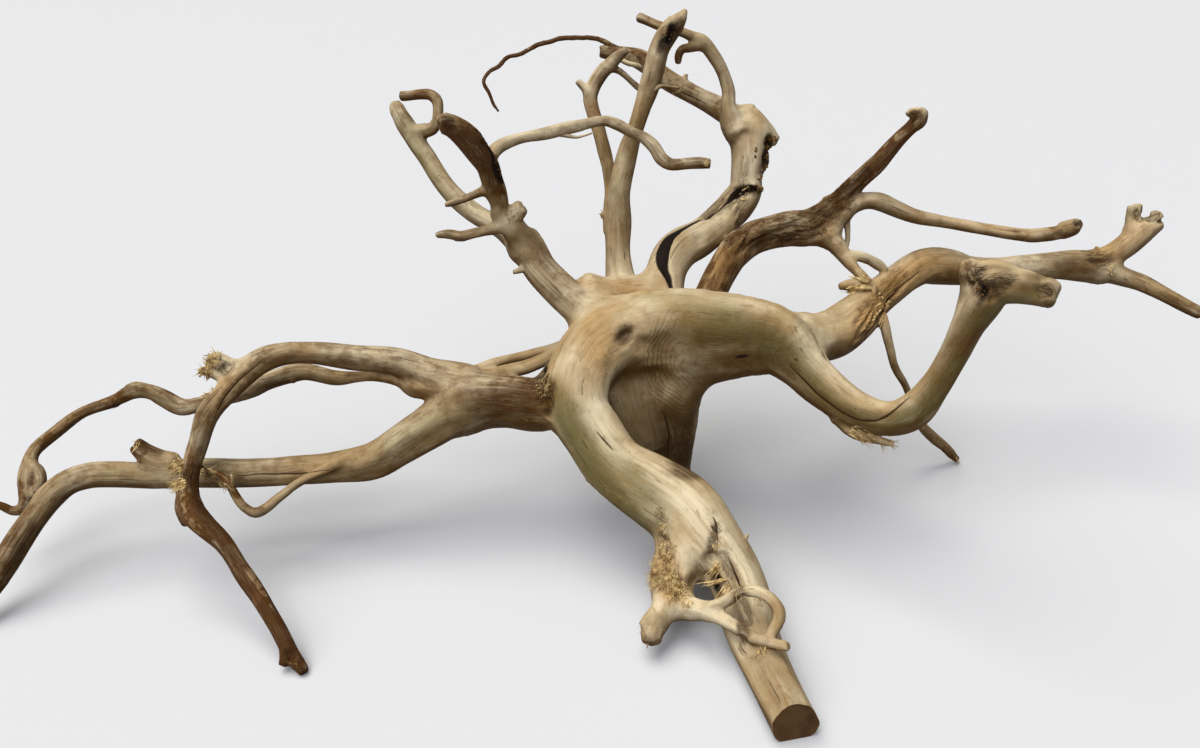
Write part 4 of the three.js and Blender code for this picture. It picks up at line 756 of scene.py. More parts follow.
class Arm:
    """One arm of the root: a centre line with a radius, and a frame that is carried along it."""

    def __init__(self, name, route, turn):
        self.name, self.turn = name, turn
        points = np.array([place(c, r, z) for c, r, z, _ in route])
        radii = np.array([[h / FOCAL_PIXELS * z] for _, _, z, h in route])
        points = np.vstack([2 * points[0] - points[1], points, 2 * points[-1] - points[-2]])
        radii = np.vstack([2 * radii[0] - radii[1], radii, 2 * radii[-1] - radii[-2]])
        line, girth = [], []
        for i in range(1, len(points) - 2):
            span = np.linalg.norm(points[i + 1] - points[i])
            count = max(2, math.ceil(span / max(2.5, 0.3 * radii[i, 0])))
            t = np.arange(count) / count
            gaps = [np.linalg.norm(points[i + k] - points[i + k - 1]) ** 0.5 for k in (0, 1, 2)]
            line.append(hermite(*points[i - 1:i + 3], gaps, t))
            girth.append(hermite(*radii[i - 1:i + 3], (1, 1, 1), t))
        self.line = np.vstack(line + [points[-2:-1]])
        self.radius = np.maximum(np.vstack(girth + [radii[-2:-1]])[:, 0], LEAST_RADIUS)
        self.line = self.line + self.kinks()
        self.start, self.step = self.line[:-1], np.diff(self.line, axis=0)
        length = np.linalg.norm(self.step, axis=1)
        self.square = length ** 2
        self.along = np.concatenate([[0], np.cumsum(length)])
        ways = self.step / length[:, None]
        self.tangent = unit(np.vstack([ways[:1], ways[:-1] + ways[1:], ways[-1:]]))
        side = np.cross(self.tangent[0], [0.31, 0.52, 0.8])
        sides = []
        for direction in self.tangent:
            side = unit(side - direction * side.dot(direction))
            sides.append(side)
        self.side = np.array(sides)
        self.over = np.cross(self.tangent, self.side)
        margin = self.radius.max() + 17
        self.low, self.high = self.line.min(0) - margin, self.line.max(0) + margin

    def kinks(self):
        """How far each point of the centre line bends aside: more in a thin arm, and not at its ends."""
        slim = np.clip(11 / self.radius.mean() - 0.8, 0, 1)
        along = np.concatenate([[0], np.cumsum(np.linalg.norm(np.diff(self.line, axis=0), axis=1))])
        pitch = 3.4 * self.radius.mean() + 4
        still = np.zeros(len(along))
        spots = [np.stack([along / pitch, still + 7.3 * self.turn, still + axis], 1) for axis in range(3)]
        ways = [woven(spot, 61) for spot in spots]
        ease = smooth(0, 12, along) * smooth(0, 12, along[-1] - along)
        return (KINKY * slim * ease * self.radius)[:, None] * (np.stack(ways, 1) - 0.5)

    def near(self, points):
        """Which points are close enough for the arm to matter to them."""
        return np.nonzero(((points > self.low) & (points < self.high)).all(1))[0]

    def closest(self, points):
        """For each point, the segment of the centre line whose surface is nearest, and the place along it."""
        segment = np.empty(len(points), int)
        share = np.empty(len(points))
        batch = 6000
        for a in range(0, len(points), batch):
            p = points[a:a + batch]
            dot = p @ self.step.T - (self.start * self.step).sum(1)
            t = np.clip(dot / self.square, 0, 1)
            gap = (p ** 2).sum(1)[:, None] - 2 * p @ self.start.T + (self.start ** 2).sum(1)
            gap = np.sqrt(np.maximum(gap - 2 * t * dot + t ** 2 * self.square, 0))
            gap -= self.radius[:-1] + t * np.diff(self.radius)
            j = gap.argmin(1)
            segment[a:a + batch] = j
            share[a:a + batch] = t[np.arange(len(p)), j]
        return segment, share

    def straightened(self, points):
        """Each point's place along and across the arm, its offset from the centre line, and the radius."""
        j, t = self.closest(points)
        radius = self.radius[j] * (1 - t) + self.radius[j + 1] * t
        t = t[:, None]
        offset = points - (self.start[j] + t * self.step[j])
        axes = (self.side, self.over, self.tangent)
        side, over, axis = (ways[j] * (1 - t) + ways[j + 1] * t for ways in axes)
        along = self.along[j] + t[:, 0] * (self.along[j + 1] - self.along[j]) + (offset * axis).sum(1)
        return np.stack([along, (offset * side).sum(1), (offset * over).sum(1)], 1), offset, radius

    def distance(self, points):
        """How far each point is outside the arm's bark, the way out, and the arm's radius there."""
        coords, offset, radius = self.straightened(points)
        angle = np.arctan2(coords[:, 2], coords[:, 1])
        section = 0.035 * np.cos(2 * angle + self.turn + 0.011 * coords[:, 0])
        section += 0.025 * np.cos(3 * angle + 2 * self.turn - 0.011 * coords[:, 0])
        knot_pitch = 2.6 * self.radius.mean() + 3
        around = [coords[:, 0] / knot_pitch + 31 * self.turn, 1.4 * np.cos(angle), 1.4 * np.sin(angle)]
        section += KNOTTY * np.clip(14 / self.radius.mean(), 0.8, 2) * (woven(np.stack(around, 1), 2) - 0.5)
        wide = radius * (1 + section)
        gap, out = np.linalg.norm(offset, axis=1) - wide, unit(offset)
        for end, sign in ((0, -1.0), (len(self.line) - 1, 1.0)):
            self.round_end(end, sign, coords, offset, wide, gap, out)
        return gap, out, radius

    def round_end(self, end, sign, coords, offset, wide, gap, out):
        """Closes the arm at one of its ends with a broken face that has a rounded rim, in gap and out."""
        size = self.radius[end]
        rim = END_ROUNDING * size
        past = sign * (coords[:, 0] - self.along[end])
        rows = np.nonzero(past > -2 * size)[0]
        if not len(rows):
            return
        ragged = coords[rows] * [0, 1, 1] / (0.55 * size + 0.8) + [3.7 * self.turn + end, 0, 0]
        past = past[rows] + min(size * END_RAGGED, MOST_RAGGED) * (woven(ragged, 4) - 0.35)
        rows, past = rows[past > -rim], past[past > -rim]
        aside = np.hypot(coords[rows, 1], coords[rows, 2]) - wide[rows] + rim
        past = past + rim
        corner = np.hypot(np.maximum(aside, 0), np.maximum(past, 0))
        gap[rows] = np.where(corner > 0, corner, np.maximum(aside, past)) - rim
        axis = self.tangent[end] * sign
        flat = unit(offset[rows] - (offset[rows] @ axis)[:, None] * axis)
        out[rows] = unit(flat * np.maximum(aside, 0)[:, None] + axis * np.maximum(past, 1e-6)[:, None])


def grown_surface(points, arms, fillet, least_fillet, most_fillet):
    """The distance from the root's skin with every fork filled, the way out, and the two nearest arms."""
    count = len(points)
    best = np.full(count, FAR)
    out = np.zeros((count, 3))
    nearest = np.zeros((count, 2), int)
    gaps = np.full((count, 2), FAR)
    for number, arm in enumerate(arms):
        rows = arm.near(points)
        if not len(rows):
            continue
        gap, way, radius = arm.distance(points[rows])
        k = np.clip(fillet * radius, least_fillet, most_fillet)
        h = np.clip(0.5 + 0.5 * (gap - best[rows]) / k, 0, 1)
        best[rows] = gap * (1 - h) + best[rows] * h - k * h * (1 - h)
        h = h[:, None]
        out[rows] = way * (1 - h) + out[rows] * h
        first = gap < gaps[rows, 0]
        second = ~first & (gap < gaps[rows, 1])
        gaps[rows[first], 1], nearest[rows[first], 1] = gaps[rows[first], 0], nearest[rows[first], 0]
        gaps[rows[first], 0], nearest[rows[first], 0] = gap[first], number
        gaps[rows[second], 1], nearest[rows[second], 1] = gap[second], number
    alone = gaps[:, 1] == FAR
    nearest[alone, 1] = nearest[alone, 0]
    return best, unit(out), nearest, gaps


def blended(arms, points, nearest, gaps, width, pattern):
    """A pattern in the arms' own coordinates, carried over smoothly from arm to arm."""
    share = np.clip(0.5 + 0.5 * (gaps[:, 1] - gaps[:, 0]) / width, 0, 1)
    share[nearest[:, 0] == nearest[:, 1]] = 1
    total = np.zeros(len(points))
    for column, weight in enumerate((share, 1 - share)):
        for number, arm in enumerate(arms):
            rows = np.nonzero((nearest[:, column] == number) & (weight > 0))[0]
            if len(rows):
                coords, _, radius = arm.straightened(points[rows])
                total[rows] += weight[rows] * pattern(coords, radius, number)
    return total


def draw_rings(bm, frames, sides):
    """A closed tube through frames: a circle whose edge is extruded from frame to frame."""
    made = bmesh.ops.create_circle(bm, cap_ends=True, radius=1, segments=sides, matrix=frames[0])
    edges = list({e for v in made["verts"] for e in v.link_edges})
    for before, after in zip(frames, frames[1:]):
        grown = bmesh.ops.extrude_edge_only(bm, edges=edges)["geom"]
        verts = [g for g in grown if isinstance(g, bmesh.types.BMVert)]
        edges = [g for g in grown if isinstance(g, bmesh.types.BMEdge)]
        bmesh.ops.transform(bm, verts=verts, matrix=after @ before.inverted())
    bmesh.ops.contextual_create(bm, geom=edges)


def frame_at(spot, side, over, way):
    """The matrix of a ring at a point in millimetres, its columns the ring's two radii and its axis."""
    axes = np.stack([side, over, way], 1)
    return Matrix.Scale(METRE, 4) @ Matrix([[*axes[r], spot[r]] for r in range(3)] + [[0, 0, 0, 1]])


def draw_tube(bm, arm, sides, spacing):
    """A closed tube along an arm, with a ring every so many radii."""
    picks = [0]
    for i in range(1, len(arm.line)):
        if arm.along[i] - arm.along[picks[-1]] >= spacing * arm.radius[i] or i == len(arm.line) - 1:
            picks.append(i)
    axes = [arm.radius[:, None] * ways for ways in (arm.side, arm.over, arm.tangent)]
    draw_rings(bm, [frame_at(arm.line[i], *(ways[i] for ways in axes)) for i in picks], sides)


def object_from(bm, name):
    """A new object that holds the drawn shape, its faces turned outwards."""
    bmesh.ops.recalc_face_normals(bm, faces=bm.faces)
    mesh = bpy.data.meshes.new(name)
    bm.to_mesh(mesh)
    bm.free()
    piece = bpy.data.objects.new(name, mesh)
    bpy.context.scene.collection.objects.link(piece)
    return piece


def copies_from(bm, name, shapes):
    """An object of many copies of one small drawn form, each copy's corners where shapes puts them."""
    bm.verts.index_update()
    corners = np.array([vert.co for vert in bm.verts])
    faces = [[vert.index for vert in face.verts] for face in bm.faces]
    copies = np.array(list(shapes(corners))).reshape(-1, 3)
    copies[:, 2] = np.maximum(copies[:, 2], 0)
    mesh = bpy.data.meshes.new(name)
    firsts = range(0, len(copies), len(corners))
    every = [[vert + first for vert in face] for first in firsts for face in faces]
    mesh.from_pydata(copies * METRE, [], every)
    bm.clear()
    bm.from_mesh(mesh)
    bpy.data.meshes.remove(mesh)
    return object_from(bm, name)


def fetched(items, field, width=1, kind=float):
    """A field of every item of a mesh, one row for each where it has a width."""
    values = np.empty(len(items) * width, kind)
    items.foreach_get(field, values)
    return values.reshape(-1, width) if width > 1 else values


def get_points(mesh):
    """A mesh's points in millimetres."""
    return fetched(mesh.vertices, "co", 3) / METRE


def set_points(mesh, points):
    """Moves a mesh's points to places in millimetres."""
    mesh.vertices.foreach_set("co", (points * METRE).ravel())
    mesh.update()


def neighbour_mean(points, edges):
    """The mean of each vertex's neighbours."""
    total = np.zeros_like(points)
    for near, far in (edges.T, edges.T[::-1]):
        for axis in range(3):
            total[:, axis] += np.bincount(near, points[far, axis], len(points))
    share = np.bincount(edges.ravel(), minlength=len(points))
    return total / np.maximum(share, 1)[:, None]


class Seen:
    """The skin as the standpoint sees it, for placing marks that are named by column and row."""

    def __init__(self, piece):
        mesh = piece.data
        faces = [polygon.vertices[:] for polygon in mesh.polygons]
        self.tree = BVHTree.FromPolygons([vert.co for vert in mesh.vertices], faces)

    def hit(self, column, row, arm=None):
        """The skin's point in sight, or the nearest to the arm's own side, in millimetres, and its normal."""
        spot, way, reach = None, sight(column, row), MIDDLE_REACH
        if arm is None:
            spot, normal, _, _ = self.tree.ray_cast(Vector(EYE * METRE), Vector(way))
        else:
            toward = arm.line - EYE
            deep = toward @ way
            miss = np.linalg.norm(toward - deep[:, None] * way, axis=1) / arm.radius
            nearest = int(miss.argmin())
            rise = arm.radius[nearest] * max(0.0, 1 - miss[nearest] ** 2) ** 0.5
            reach = reach_of(EYE + way * deep[nearest]) - rise
        if spot is None:
            spot, normal, _, _ = self.tree.find_nearest(Vector(place(column, row, reach) * METRE))
        return np.array(spot) / METRE, np.array(normal)

    def scatter(self, column, row, spread, count, draw):
        """Places on the skin spread at random around a column and row."""
        for _ in range(count):
            turn, out = draw.uniform(0, 2 * math.pi), spread * math.sqrt(draw.random())
            yield self.hit(column + out * math.cos(turn), row + out * math.sin(turn))


def mixed(before, after, share):
    """Two entries of a route mixed, the second with this share."""
    return [low + share * (high - low) for low, high in zip(before, after)]


def crack_lines(seen, cracks, arms):
    """Each crack as points on the skin, with half widths and depths in millimetres."""
    lines = []
    for name, route in cracks:
        spots, across, deep = [], [], []
        for before, after in zip(route, route[1:]):
            count = max(2, round(math.hypot(after[0] - before[0], after[1] - before[1]) / CRACK_PIXELS))
            for i in range(count + 1):
                column, row, width, depth = mixed(before, after, i / count)
                wave = 0.7 * math.sin(0.21 * column + 0.16 * row) + 0.35 * math.sin(0.5 * column - 0.43 * row)
                spot, _ = seen.hit(column + 0.7 * wave, row + 0.7 * wave, arms.get(name))
                if spots and not LEAST_CRACK_STEP <= np.linalg.norm(spot - spots[-1]) <= MOST_CRACK_STEP:
                    continue
                spots.append(spot)
                across.append(width * reach_of(spot) / FOCAL_PIXELS)
                deep.append(depth)
        spots = np.array(spots)
        for _ in range(4 if len(spots) > 6 else 0):
            spots[1:-1] = (spots[:-2] + 2 * spots[1:-1] + spots[2:]) / 4
        lines.append((spots, np.array(across), np.array(deep)))
    return lines


def off_cracks(points, normals, lines):
    """For each point: its signed distance from the nearest crack, and the crack's half width and depth."""
    signed = np.full(len(points), CRACK_REACH)
    across, deep = np.zeros((2, len(points)))
    for spots, half, depth in lines:
        low, high = spots.min(0) - CRACK_REACH, spots.max(0) + CRACK_REACH
        rows = np.nonzero(((points > low) & (points < high)).all(1))[0]
        if not len(rows):
            continue
        step = np.diff(spots, axis=0)
        offset = points[rows][:, None] - spots[:-1]
        t = np.clip((offset * step).sum(2) / (step ** 2).sum(1), 0, 1)
        offset = offset - t[..., None] * step
        gap = np.linalg.norm(offset, axis=2)
        j, pick = gap.argmin(1), np.arange(len(rows))
        gap, t, offset = gap[pick, j], t[pick, j], offset[pick, j]
        flat = offset - (offset * normals[rows]).sum(1, keepdims=True) * normals[rows]
        turn = np.sign((np.cross(step[j], normals[rows]) * offset).sum(1))
        beyond = ((j == 0) & (t == 0)) | ((j == len(step) - 1) & (t == 1))
        width = (half[j] * (1 - t) + half[j + 1] * t) * smooth(9, 6, gap)
        nearer = gap < np.abs(signed[rows])
        chosen = rows[nearer]
        signed[chosen] = (np.maximum(np.linalg.norm(flat, axis=1), gap - 8) * turn)[nearer]
        across[chosen] = np.where(beyond, 0, width)[nearer]
        deep[chosen] = np.where(beyond, 0, depth[j] * (1 - t) + depth[j + 1] * t)[nearer]
    return signed, across, deep


def stroke_amount(points, balls, seed, soft):
    """How strongly a tone lies on each point, from the balls along its strokes, with ragged or soft edges."""
    amount = np.zeros(len(points))
    raggedness, full, none = (0.12, 0.1, 1.45) if soft else (0.45, 0.45, 1.1)
    ragged = raggedness * (woven(points / 7.0, seed) + 0.5 * woven(points / 2.6, seed + 1) - 0.75)
    for centre, radius, strength in balls:
        rows = np.nonzero((np.abs(points - centre) < 1.6 * radius).all(1))[0]
        gap = np.linalg.norm(points[rows] - centre, axis=1) / radius + ragged[rows]
        amount[rows] = np.maximum(amount[rows], strength * (1 - smooth(full, none, gap)))
    return amount


def marks_on(skin):
    """The skin as it is seen, and the strokes' balls and the cracks' lines as they lie on it."""
    seen = Seen(skin)
    balls = {tone: [] for tone in STROKES}
    for tone, strokes in STROKES.items():
        for stroke in strokes:
            for before, after in zip(stroke, stroke[1:] or stroke):
                span = math.hypot(after[0] - before[0], after[1] - before[1])
                count = 1 + int(span / (0.4 * min(before[2], after[2])))
                for share in np.linspace(0, 1, count + 1):
                    column, row, width, amount = mixed(before, after, share)
                    centre, _ = seen.hit(column, row)
                    balls[tone].append((centre, width * reach_of(centre) / FOCAL_PIXELS, amount))
    arms = {name: Arm(name, route, 0) for name, route in ROUTES.items()}
    return seen, balls, {name: crack_lines(seen, cracks, arms) for name, cracks in CRACKS.items()}


def write_attribute(mesh, name, domain, values):
    """Writes numbers, or vectors, on a mesh's points, corners or faces."""
    kind, field = ("FLOAT_VECTOR", "vector") if values.ndim == 2 else ("FLOAT", "value")
    layer = mesh.attributes.new(name, kind, domain)
    layer.data.foreach_set(field, np.ascontiguousarray(values, dtype=np.float32).ravel())


def write_grain(mesh, arms, points, nearest, width):
    """Gives each face corner its place in its own arm and in the next one, and the share of the two."""
    corner_vertex = fetched(mesh.loops, "vertex_index", kind=np.int32)
    first = fetched(mesh.polygons, "loop_start", kind=np.int32)
    owner = np.repeat(np.arange(len(first)), fetched(mesh.polygons, "loop_total", kind=np.int32))
    ids = nearest[corner_vertex[first]][owner]
    places = np.zeros((2, len(corner_vertex), 3))
    reach = np.zeros((2, len(corner_vertex)))
    for column in range(2):
        for number, arm in enumerate(arms):
            rows = np.nonzero(ids[:, column] == number)[0]
            if len(rows):
                verts, back = np.unique(corner_vertex[rows], return_inverse=True)
                coords, offset, radius = arm.straightened(points[verts])
                coords[:, 0] += GRAIN_SPACING * (number + 1)
                places[column, rows] = coords[back]
                reach[column, rows] = (np.linalg.norm(offset, axis=1) - radius)[back]
    share = np.clip(0.5 + 0.5 * (reach[1] - reach[0]) / width, 0, 1)
    share[ids[:, 0] == ids[:, 1]] = 1
    write_attribute(mesh, "grain_here", "CORNER", places[0] * METRE)
    write_attribute(mesh, "grain_next", "CORNER", places[1] * METRE)
    write_attribute(mesh, "grain_share", "CORNER", share)


def strand_grooves(coords, radius, number):
    """Grooves between twisted strands of grain, 1 at their bottoms."""
    y, z = twisted(coords, 80)
    total = np.zeros(len(coords))
    for size, seed in ((8.5, 51), (5.5, 52)):
        field = woven(np.stack([coords[:, 0] / (6 * size) + 9 * number, y / size, z / size], 1), seed)
        total = np.maximum(total, smooth(0.16, 0.02, np.abs(field - 0.5)))
    return total


def write_tones(mesh, arms, balls, lines, nearest, gaps):
    """Writes every tone of the wood on the piece's vertices, and how far each is from the cracks."""

    def bark_stain(coords, radius, number):
        """How dark the arm is along its length."""
        table = STAINED.get(arms[number].name, [(0, PLAIN_STAIN), (1, PLAIN_STAIN)])
        return np.interp(coords[:, 0] / arms[number].along[-1], *zip(*table))

    points, normals = get_points(mesh), fetched(mesh.vertex_normals, "vector", 3)
    tones = {
        tone: stroke_amount(points, balls[tone], 11 + 5 * number, tone in SOFT_TONES)
        for number, tone in enumerate(STROKES)
    }
    tones["groove"] = tones["rough"] * blended(arms, points, nearest, gaps, BLEND, strand_grooves)
    tones["stain"] = blended(arms, points, nearest, gaps, STAIN_BLEND, bark_stain)
    # Painted shade: faces that turn downwards are darkened, and so is the wood within 14 mm of the floor
    under = smooth(0.5, -0.6, normals[:, 2]) * (0.65 + 0.5 * woven(points / 30, 3))
    tones["under"] = np.clip(under + 0.3 * smooth(14, 0, points[:, 2]), 0, 1)
    for tone, amount in tones.items():
        write_attribute(mesh, "tone_" + tone, "POINT", amount)
    edges = fetched(mesh.edges, "vertices", 2, np.int32)
    for _ in range(12):
        normals = neighbour_mean(normals, edges)
    normals = unit(normals)
    for name, cracks in lines.items():
        write_attribute(mesh, name, "POINT", np.stack(off_cracks(points, normals, cracks), 1) * METRE)


def length_property(name, description, default):
    """A size in metres that the sidebar shows as a length."""
    return bpy.props.FloatProperty(name=name, description=description, default=default, unit="LENGTH")


def colour_property(name, description, hex_colour):
    """A colour that the sidebar shows as a swatch."""
    return bpy.props.FloatVectorProperty(
        name=name, description=description, default=linear(hex_colour), subtype="COLOR", size=4)


class WoodSizes(bpy.types.PropertyGroup):
    """The root's sizes."""

    cell: length_property("Skin cell", "Size of the cells that the root's skin is grown in", 0.0017)
    most_triangles: bpy.props.IntProperty(
        name="Most triangles", description="How many triangles the finished skin may have", default=194000)
    fillet: bpy.props.FloatProperty(
        name="Fork fillet", description="How far a fork is filled, in radii of the thinner arm", default=0.75)
    least_fillet: length_property("Smallest fillet", "The least that a fork is filled", 0.002)
    most_fillet: length_property("Largest fillet", "The most that a fork is filled", 0.013)
    flute: length_property("Flutes", "Height of the long ridges that run with the grain", 0.0011)
    gnarl: length_property("Gnarls", "Height of the knotty ridges where the wood is rough", 0.0016)
    grain: length_property("Grain width", "Width of one streak of the grain", 0.0019)
    fibre: length_property("Fibre width", "Width of the finest fibres that the bare wood shows", 0.0007)


class WoodColours(bpy.types.PropertyGroup):
    """The colours of the root and of the floor."""

    bleached: colour_property("Bleached wood", "Worn, sun-bleached wood on the ridges", "#DDCDAA")
    body: colour_property("Wood", "The body of the bare wood", "#B9A077")
    streak: colour_property("Grain streak", "The darker streaks of the grain", "#8E6C3B")
    # Painted shade: this colour darkens the faces that turn down and the olive strokes
    olive_painted_shade: colour_property("Underside", "Damp-stained wood on the undersides", "#604A18")
    # Painted reflected light: a green tint laid on the shaded sides
    green: colour_property("Greenish wood", "A faint green growth in the wood's shaded sides", "#716F44")
    # Partly painted shade: this colour darkens the broad hollow under the arch
    dusk: colour_property("Dusky wood", "Dull brown wood in the broad hollow and on the stem", "#7D6647")
    # Partly painted light: the pale strokes also brighten faces as light would
    pale: colour_property("Pale wood", "The palest, freshly worn wood", "#F0E2C0")
    # The bark stain's colour is also painted shade where the shade is deepest, and in the lines between
    # strands
    stain: colour_property("Bark stain", "What the bark left on the thinner arms", "#57370F")
    bark: colour_property("Bark", "Thin flakes of bark that still cling to the wood", "#4E2D13")
    # Partly painted shade: in the hollows this brown stands for shade; elsewhere it is dark wood
    brown: colour_property("Dark wood", "Dust and dark wood in the hollows", "#432A11")
    ochre: colour_property("Golden wood", "Fresh golden wood where bark came off last", "#C0904C")
    # Partly painted shade: this black also stands for the shade inside hollow ends, holes and cracks
    char: colour_property("Black rot", "Black, rotted wood in the deep cracks", "#1C130E")
    sawn: colour_property("End grain", "The sawn face of the stem", "#6A4E32")
    fibres: colour_property("Torn fibre", "Pale fibres at the torn ends", "#E3CA92")
    floor: colour_property("Floor", "The pale floor", "#D0D2D6")


def new_material(name):
    """A material without any nodes, and its node tree."""
    material = bpy.data.materials.new(name)
    material.use_nodes = True
    material.node_tree.nodes.clear()
    return material, material.node_tree


def add_node(tree, kind, values=None):
    """Adds one node: outputs of other nodes are linked to its inputs, and other values are set on it."""
    node = tree.nodes.new(kind)
    for name, value in (values or {}).items():
        if isinstance(value, bpy.types.NodeSocket):
            tree.links.new(value, node.inputs[name])
        elif isinstance(name, int) or name in node.inputs:
            node.inputs[name].default_value = value
        else:
            setattr(node, name, value)
    return node


def bare_wood(colours, sizes):
    """Dry spiderwood, peeled and bleached: matt, streaked along its grain, with painted shade below and in
    hollows.
    """
    material, tree = new_material("bare_spiderwood")
    solid = add_node(tree, "ShaderNodeTexCoord").outputs["Object"]
    marks = {}
    for name in ("grain_here", "grain_next", "crack_thin", "crack_black"):
        marks[name] = add_node(tree, "ShaderNodeAttribute", {"attribute_name": name}).outputs["Vector"]
    for name in ("grain_share", "sawn", *("tone_" + tone for tone in (*STROKES, "under", "stain", "groove"))):
        mark = add_node(tree, "ShaderNodeAttribute", {"attribute_name": name})
        marks[name.removeprefix("tone_")] = mark.outputs["Fac"]

    def streaked(width, run, detail, rough):
        """Noise in streaks of a width and a run, crossing over from arm to arm at the forks."""
        both = []
        for name in ("grain_next", "grain_here"):
            stretched = add_node(tree, "ShaderNodeMapping", {
                "vector_type": "POINT", "Vector": marks[name], "Scale": (1 / run, 1 / width, 1 / width)})
            noise = {"Scale": 1.0, "Detail": detail, "Roughness": rough, "Distortion": 0.35}
            noise = add_node(tree, "ShaderNodeTexNoise", {"Vector": stretched.outputs[0], **noise})
            both.append(noise.outputs["Fac"])
        mix = {"data_type": "FLOAT", 0: marks["grain_share"], 2: both[0], 3: both[1]}
        return add_node(tree, "ShaderNodeMix", mix).outputs[0]

    def patchy(size, detail, rough):
        """Noise in patches of a size."""
        noise = {"Vector": solid, "Scale": 1 / size, "Detail": detail, "Roughness": rough}
        return add_node(tree, "ShaderNodeTexNoise", noise).outputs["Fac"]

    def strength(*factors):
        """A product of numbers, outputs, and outputs that rise smoothly over the range given with them."""
        product = None
        for factor in factors:
            if isinstance(factor, tuple):
                value, low, high, least, most = (*factor, 0.0, 1.0)[:5]
                factor = add_node(tree, "ShaderNodeMapRange", {
                    "interpolation_type": "SMOOTHSTEP", "Value": value, "From Min": low, "From Max": high,
                    "To Min": least, "To Max": most}).outputs[0]
            product = factor if product is None else add_node(
                tree, "ShaderNodeMath", {"operation": "MULTIPLY", 0: product, 1: factor}).outputs[0]
        return product

    def coat(under, over, *factors):
        """A colour with another one over it, as strongly as the product of the factors says."""
        mix = {"data_type": "RGBA", 0: strength(*factors), 6: under, 7: over}
        return add_node(tree, "ShaderNodeMix", mix).outputs[2]

    def waves(distance, noise, sway, width):
        """A wave with a crest at every width of the distance, swayed by noise."""
        swayed = {"operation": "MULTIPLY_ADD", 0: noise, 1: sway, 2: distance}
        swayed = add_node(tree, "ShaderNodeMath", swayed).outputs[0]
        turns = strength(swayed, 2 * math.pi / width)
        return add_node(tree, "ShaderNodeMath", {"operation": "SINE", 0: turns}).outputs[0]

    # Noise along the grain: streaks, fine fibres, wide bands, specks, long checks, bark flakes and strands
    streaks = streaked(sizes.grain * 1.6, sizes.grain * 34, 3.0, 0.6)
    fibres = streaked(sizes.fibre, sizes.fibre * 26, 2.0, 0.6)
    bands = streaked(sizes.grain * 4.5, sizes.grain * 45, 2.0, 0.5)
    specks = streaked(sizes.fibre * 2.2, sizes.fibre * 7, 2.0, 0.6)
    checks = streaked(sizes.grain * 1.1, sizes.grain * 26, 1.0, 0.4)
    flakes = streaked(sizes.grain * 3.4, sizes.grain * 13, 4.0, 0.55)
    strands = streaked(sizes.grain * 2.2, sizes.grain * 16, 2.0, 0.5)
    cloud, mottle, wobble = patchy(0.055, 3.0, 0.55), patchy(0.011, 4.0, 0.6), patchy(0.018, 3.0, 0.5)

    # Painted shade: undersides and the olive strokes are darker, less where the pale strokes paint worn wood
    # and light; stained arms have fewer streaks
    worn_and_lit, patches = strength(marks["pale"], 0.8), strength(marks["stain"], (mottle, 0.46, 0.6, 0.0, 0.6))
    neither_worn_nor_lit = add_node(tree, "ShaderNodeMath", {"operation": "SUBTRACT", 0: 1.0, 1: worn_and_lit})
    darkest = add_node(tree, "ShaderNodeMath", {"operation": "MAXIMUM", 0: marks["under"], 1: marks["olive_painted_shade"]})
    shade = strength(darkest.outputs[0], neither_worn_nor_lit.outputs[0])
    stain_and_shade = add_node(tree, "ShaderNodeMath", {"operation": "MAXIMUM", 0: marks["stain"], 1: shade})
    stain_and_shade = strength(stain_and_shade.outputs[0], 0.8)
    free_of_stain_and_shade = add_node(tree, "ShaderNodeMath", {"operation": "SUBTRACT", 0: 1.0, 1: stain_and_shade}).outputs[0]
    stained = strength(marks["stain"], (streaks, 0.33, 0.6, 0.4, 1.0))
    stained = {"operation": "ADD", "use_clamp": True, 0: stained, 1: patches}
    stained = add_node(tree, "ShaderNodeMath", stained).outputs[0]
    barked = {"operation": "ADD", 0: flakes, 1: strength(marks["stain"], 0.17)}
    barked = add_node(tree, "ShaderNodeMath", barked).outputs[0]

    colour = coat(colours.body, colours.bleached, (cloud, 0.38, 0.64))
    for over, *factors in (
        # Partly painted light: the pale strokes
        (colours.pale, marks["pale"], 0.85),
        (colours.streak, (bands, 0.44, 0.66), 0.3),
        (colours.ochre, marks["ochre"], (cloud, 0.25, 0.6, 0.45, 0.95)),
        (colours.streak, (mottle, 0.5, 0.72), 0.3),
        # Partly painted shade: the dusk strokes
        (colours.dusk, marks["dusk"], (mottle, 0.3, 0.7, 0.6, 0.95)),
        # Painted shade: olive over the shaded parts, and the bark stain's colour over the darkest of them
        (colours.olive_painted_shade, shade, (mottle, 0.3, 0.7, 0.75, 1.0)),
        (colours.stain, shade, shade, 0.75),
        # Painted reflected light: the green tint
        (colours.green, marks["green"], (cloud, 0.3, 0.6, 0.35, 0.65)),
        (colours.stain, stained),
        (colours.bark, (barked, 0.62, 0.65), marks["stain"], 0.85),
        # Partly painted shade: the brown strokes
        (colours.brown, marks["brown"], (streaks, 0.3, 0.62, 0.5, 1.0)),
        (colours.streak, (streaks, 0.5, 0.72), 0.42, free_of_stain_and_shade),
        (colours.brown, (streaks, 0.66, 0.76), 0.3),
        (colours.brown, (fibres, 0.54, 0.76), 0.26),
        (colours.bleached, (fibres, 0.46, 0.3), 0.25, free_of_stain_and_shade),
        (colours.brown, (specks, 0.66, 0.74), 0.6),
    ):
        colour = coat(colour, over, *factors)

